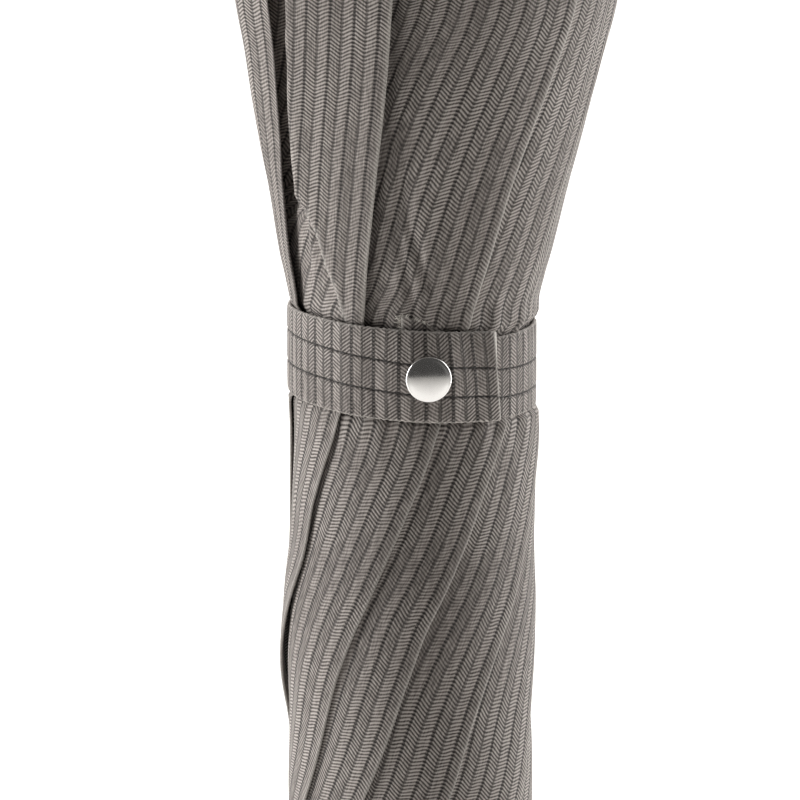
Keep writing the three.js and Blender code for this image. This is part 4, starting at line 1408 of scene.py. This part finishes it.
# ---- Studio ----
@dataclass
class Studio:
    """A pale floor, a white surround that is dimmer in front, two soft side lights and the camera."""

    aim: tuple[float, float, float] = (-2.9, 0.0, 464.4)
    rise: float = 9.3  # degrees that the camera stands above the aim
    away: float = 1100.0
    view_height: float = 195.6  # at the aim
    sensor: float = 36.0
    floor_z: float = -0.4
    reach: float = 24000.0
    floor_back: float = 9500.0  # the floor ends here, so no view sees its edge as a dark band

    def camera(self) -> None:
        """Stands the camera in front of the strap, looking a little down."""
        data = bpy.data.cameras.new("camera")
        data.sensor_width = self.sensor
        data.lens = self.sensor * self.away / self.view_height
        data.clip_end = 60
        obj = bpy.data.objects.new("camera", data)
        a = math.radians(self.rise)
        x, y, z = self.aim
        obj.location = [MM * v for v in (x, y - self.away * math.cos(a), z + self.away * math.sin(a))]
        obj.rotation_euler = (math.radians(90 - self.rise), 0, 0)
        bpy.context.scene.collection.objects.link(obj)
        bpy.context.scene.camera = obj

    def surround(self) -> None:
        """Lights the studio's walls: white behind and at the sides, dim in front."""
        world = bpy.data.worlds.new("studio")
        world.use_nodes = True
        tree = world.node_tree
        tree.nodes.clear()
        split = add(tree, "ShaderNodeSeparateXYZ", [add(tree, "ShaderNodeTexCoord").outputs["Generated"]])
        back = add(tree, MAP, [split.outputs[1], -0.6, 0.9, 0.07, 1.1])
        background = add(tree, "ShaderNodeBackground", {"Color": linear("FFFDFA"), "Strength": back})
        add(tree, "ShaderNodeOutputWorld", {"Surface": background})
        bpy.context.scene.world = world

    def light(
        self, name: str, at: Sequence[float], size: tuple[float, float], power: float, down: bool = False
    ) -> None:
        """Hangs a soft light that faces the strap.

        Args:
            name: its name.
            at: its place in metres.
            size: its width and height in metres.
            power: in watts.
            down: whether it faces straight down instead.
        """
        data = bpy.data.lights.new(name, "AREA")
        data.shape, data.size, data.size_y, data.energy = "RECTANGLE", *size, power
        obj = bpy.data.objects.new(name, data)
        obj.location = at
        x, y, z = (t * MM - a for t, a in zip(self.aim, at))
        if not down:
            obj.rotation_euler = (math.atan2(math.hypot(x, y), -z), 0, math.atan2(-x, y))
        obj.visible_camera = False
        bpy.context.scene.collection.objects.link(obj)

    def floor(self) -> None:
        """Lays the floor."""
        material, put = start_material("studio_floor_paper")
        place = put("ShaderNodeTexCoord").outputs["Object"]
        mottle = put(NOISE, {"Vector": place, "Scale": 3.0, "Detail": 2.0})
        tint = put(MIX, {0: mottle, 6: linear("FAF9F7"), 7: linear("F4F3F0")}, data_type="RGBA")
        end_material(material, {"Base Color": tint.outputs[2], "Roughness": 0.9})
        reach, far, z = self.reach, self.floor_back, self.floor_z
        corners = np.array([(-reach, -reach, z), (reach, -reach, z), (reach, far, z), (-reach, far, z)])
        make_mesh("studio_floor", corners, [[0, 1, 2, 3]], material)

    def build(self) -> None:
        """Sets up the whole studio."""
        self.camera()
        self.surround()
        self.light("side_light_left", (-1.4, 0.0, 0.75), (0.8, 1.5), 25)
        self.light("side_light_right", (1.4, 0.4, 0.75), (0.9, 1.5), 20)
        self.light("backdrop_light", (0.0, 4.6, 3.6), (9.0, 7.0), 430, down=True)
        self.floor()
        bpy.context.scene.view_settings.view_transform = "Standard"


def main() -> None:
    """Builds the umbrella and its studio, and reports each piece."""
    logging.basicConfig(level=logging.INFO, format="%(message)s")
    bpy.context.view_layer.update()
    Studio().build()
    canopy_cloth = HerringboneCloth(Weave.ALONG_FOLD).material()
    strap_cloth = HerringboneCloth(Weave.ACROSS_BAND, slant=36.0, join=0.10).material()
    nickel = Metal("nickel_polished", "E2E0DE", 0.20).material()
    satin = Metal("nickel_satin", "AFACA7", 0.32).material()
    spring = Metal("spring_steel_bright", "A9A9AB", 0.28).material()
    enamel = Coated("steel_black_enamel", "1B1B1D", 0.36).material()
    plastic = Coated("nylon_black_moulded", "151515", 0.45, peel=0.5).material()
    wood = LacqueredChestnut().material()
    thread = SewingThread("thread_dark_grey", "2D2A28").material()
    yarn = SewingThread("yarn_loose_grey", "D2CCC4").material()
    finishes = {
        "black_steel": enamel, "nickel": satin, "spring_steel": spring, "canopy_cloth": canopy_cloth,
        "chestnut": wood, "black_plastic": plastic,
    }  # fmt: skip
    pieces: list[Object] = []
    pieces += Canopy().build(canopy_cloth)
    pieces += TieStrap().build(strap_cloth, thread, yarn)
    pieces.append(PressStud().build(nickel))
    pieces += CrookHandle().build(wood, satin)
    pieces += StickFittings().build(enamel, satin, plastic, strap_cloth)
    pieces += RibFrame().dress(finishes)
    for piece in pieces:
        log.info("%s: %d faces", piece.name, len(piece.data.polygons))


if __name__ == "__main__":
    main()
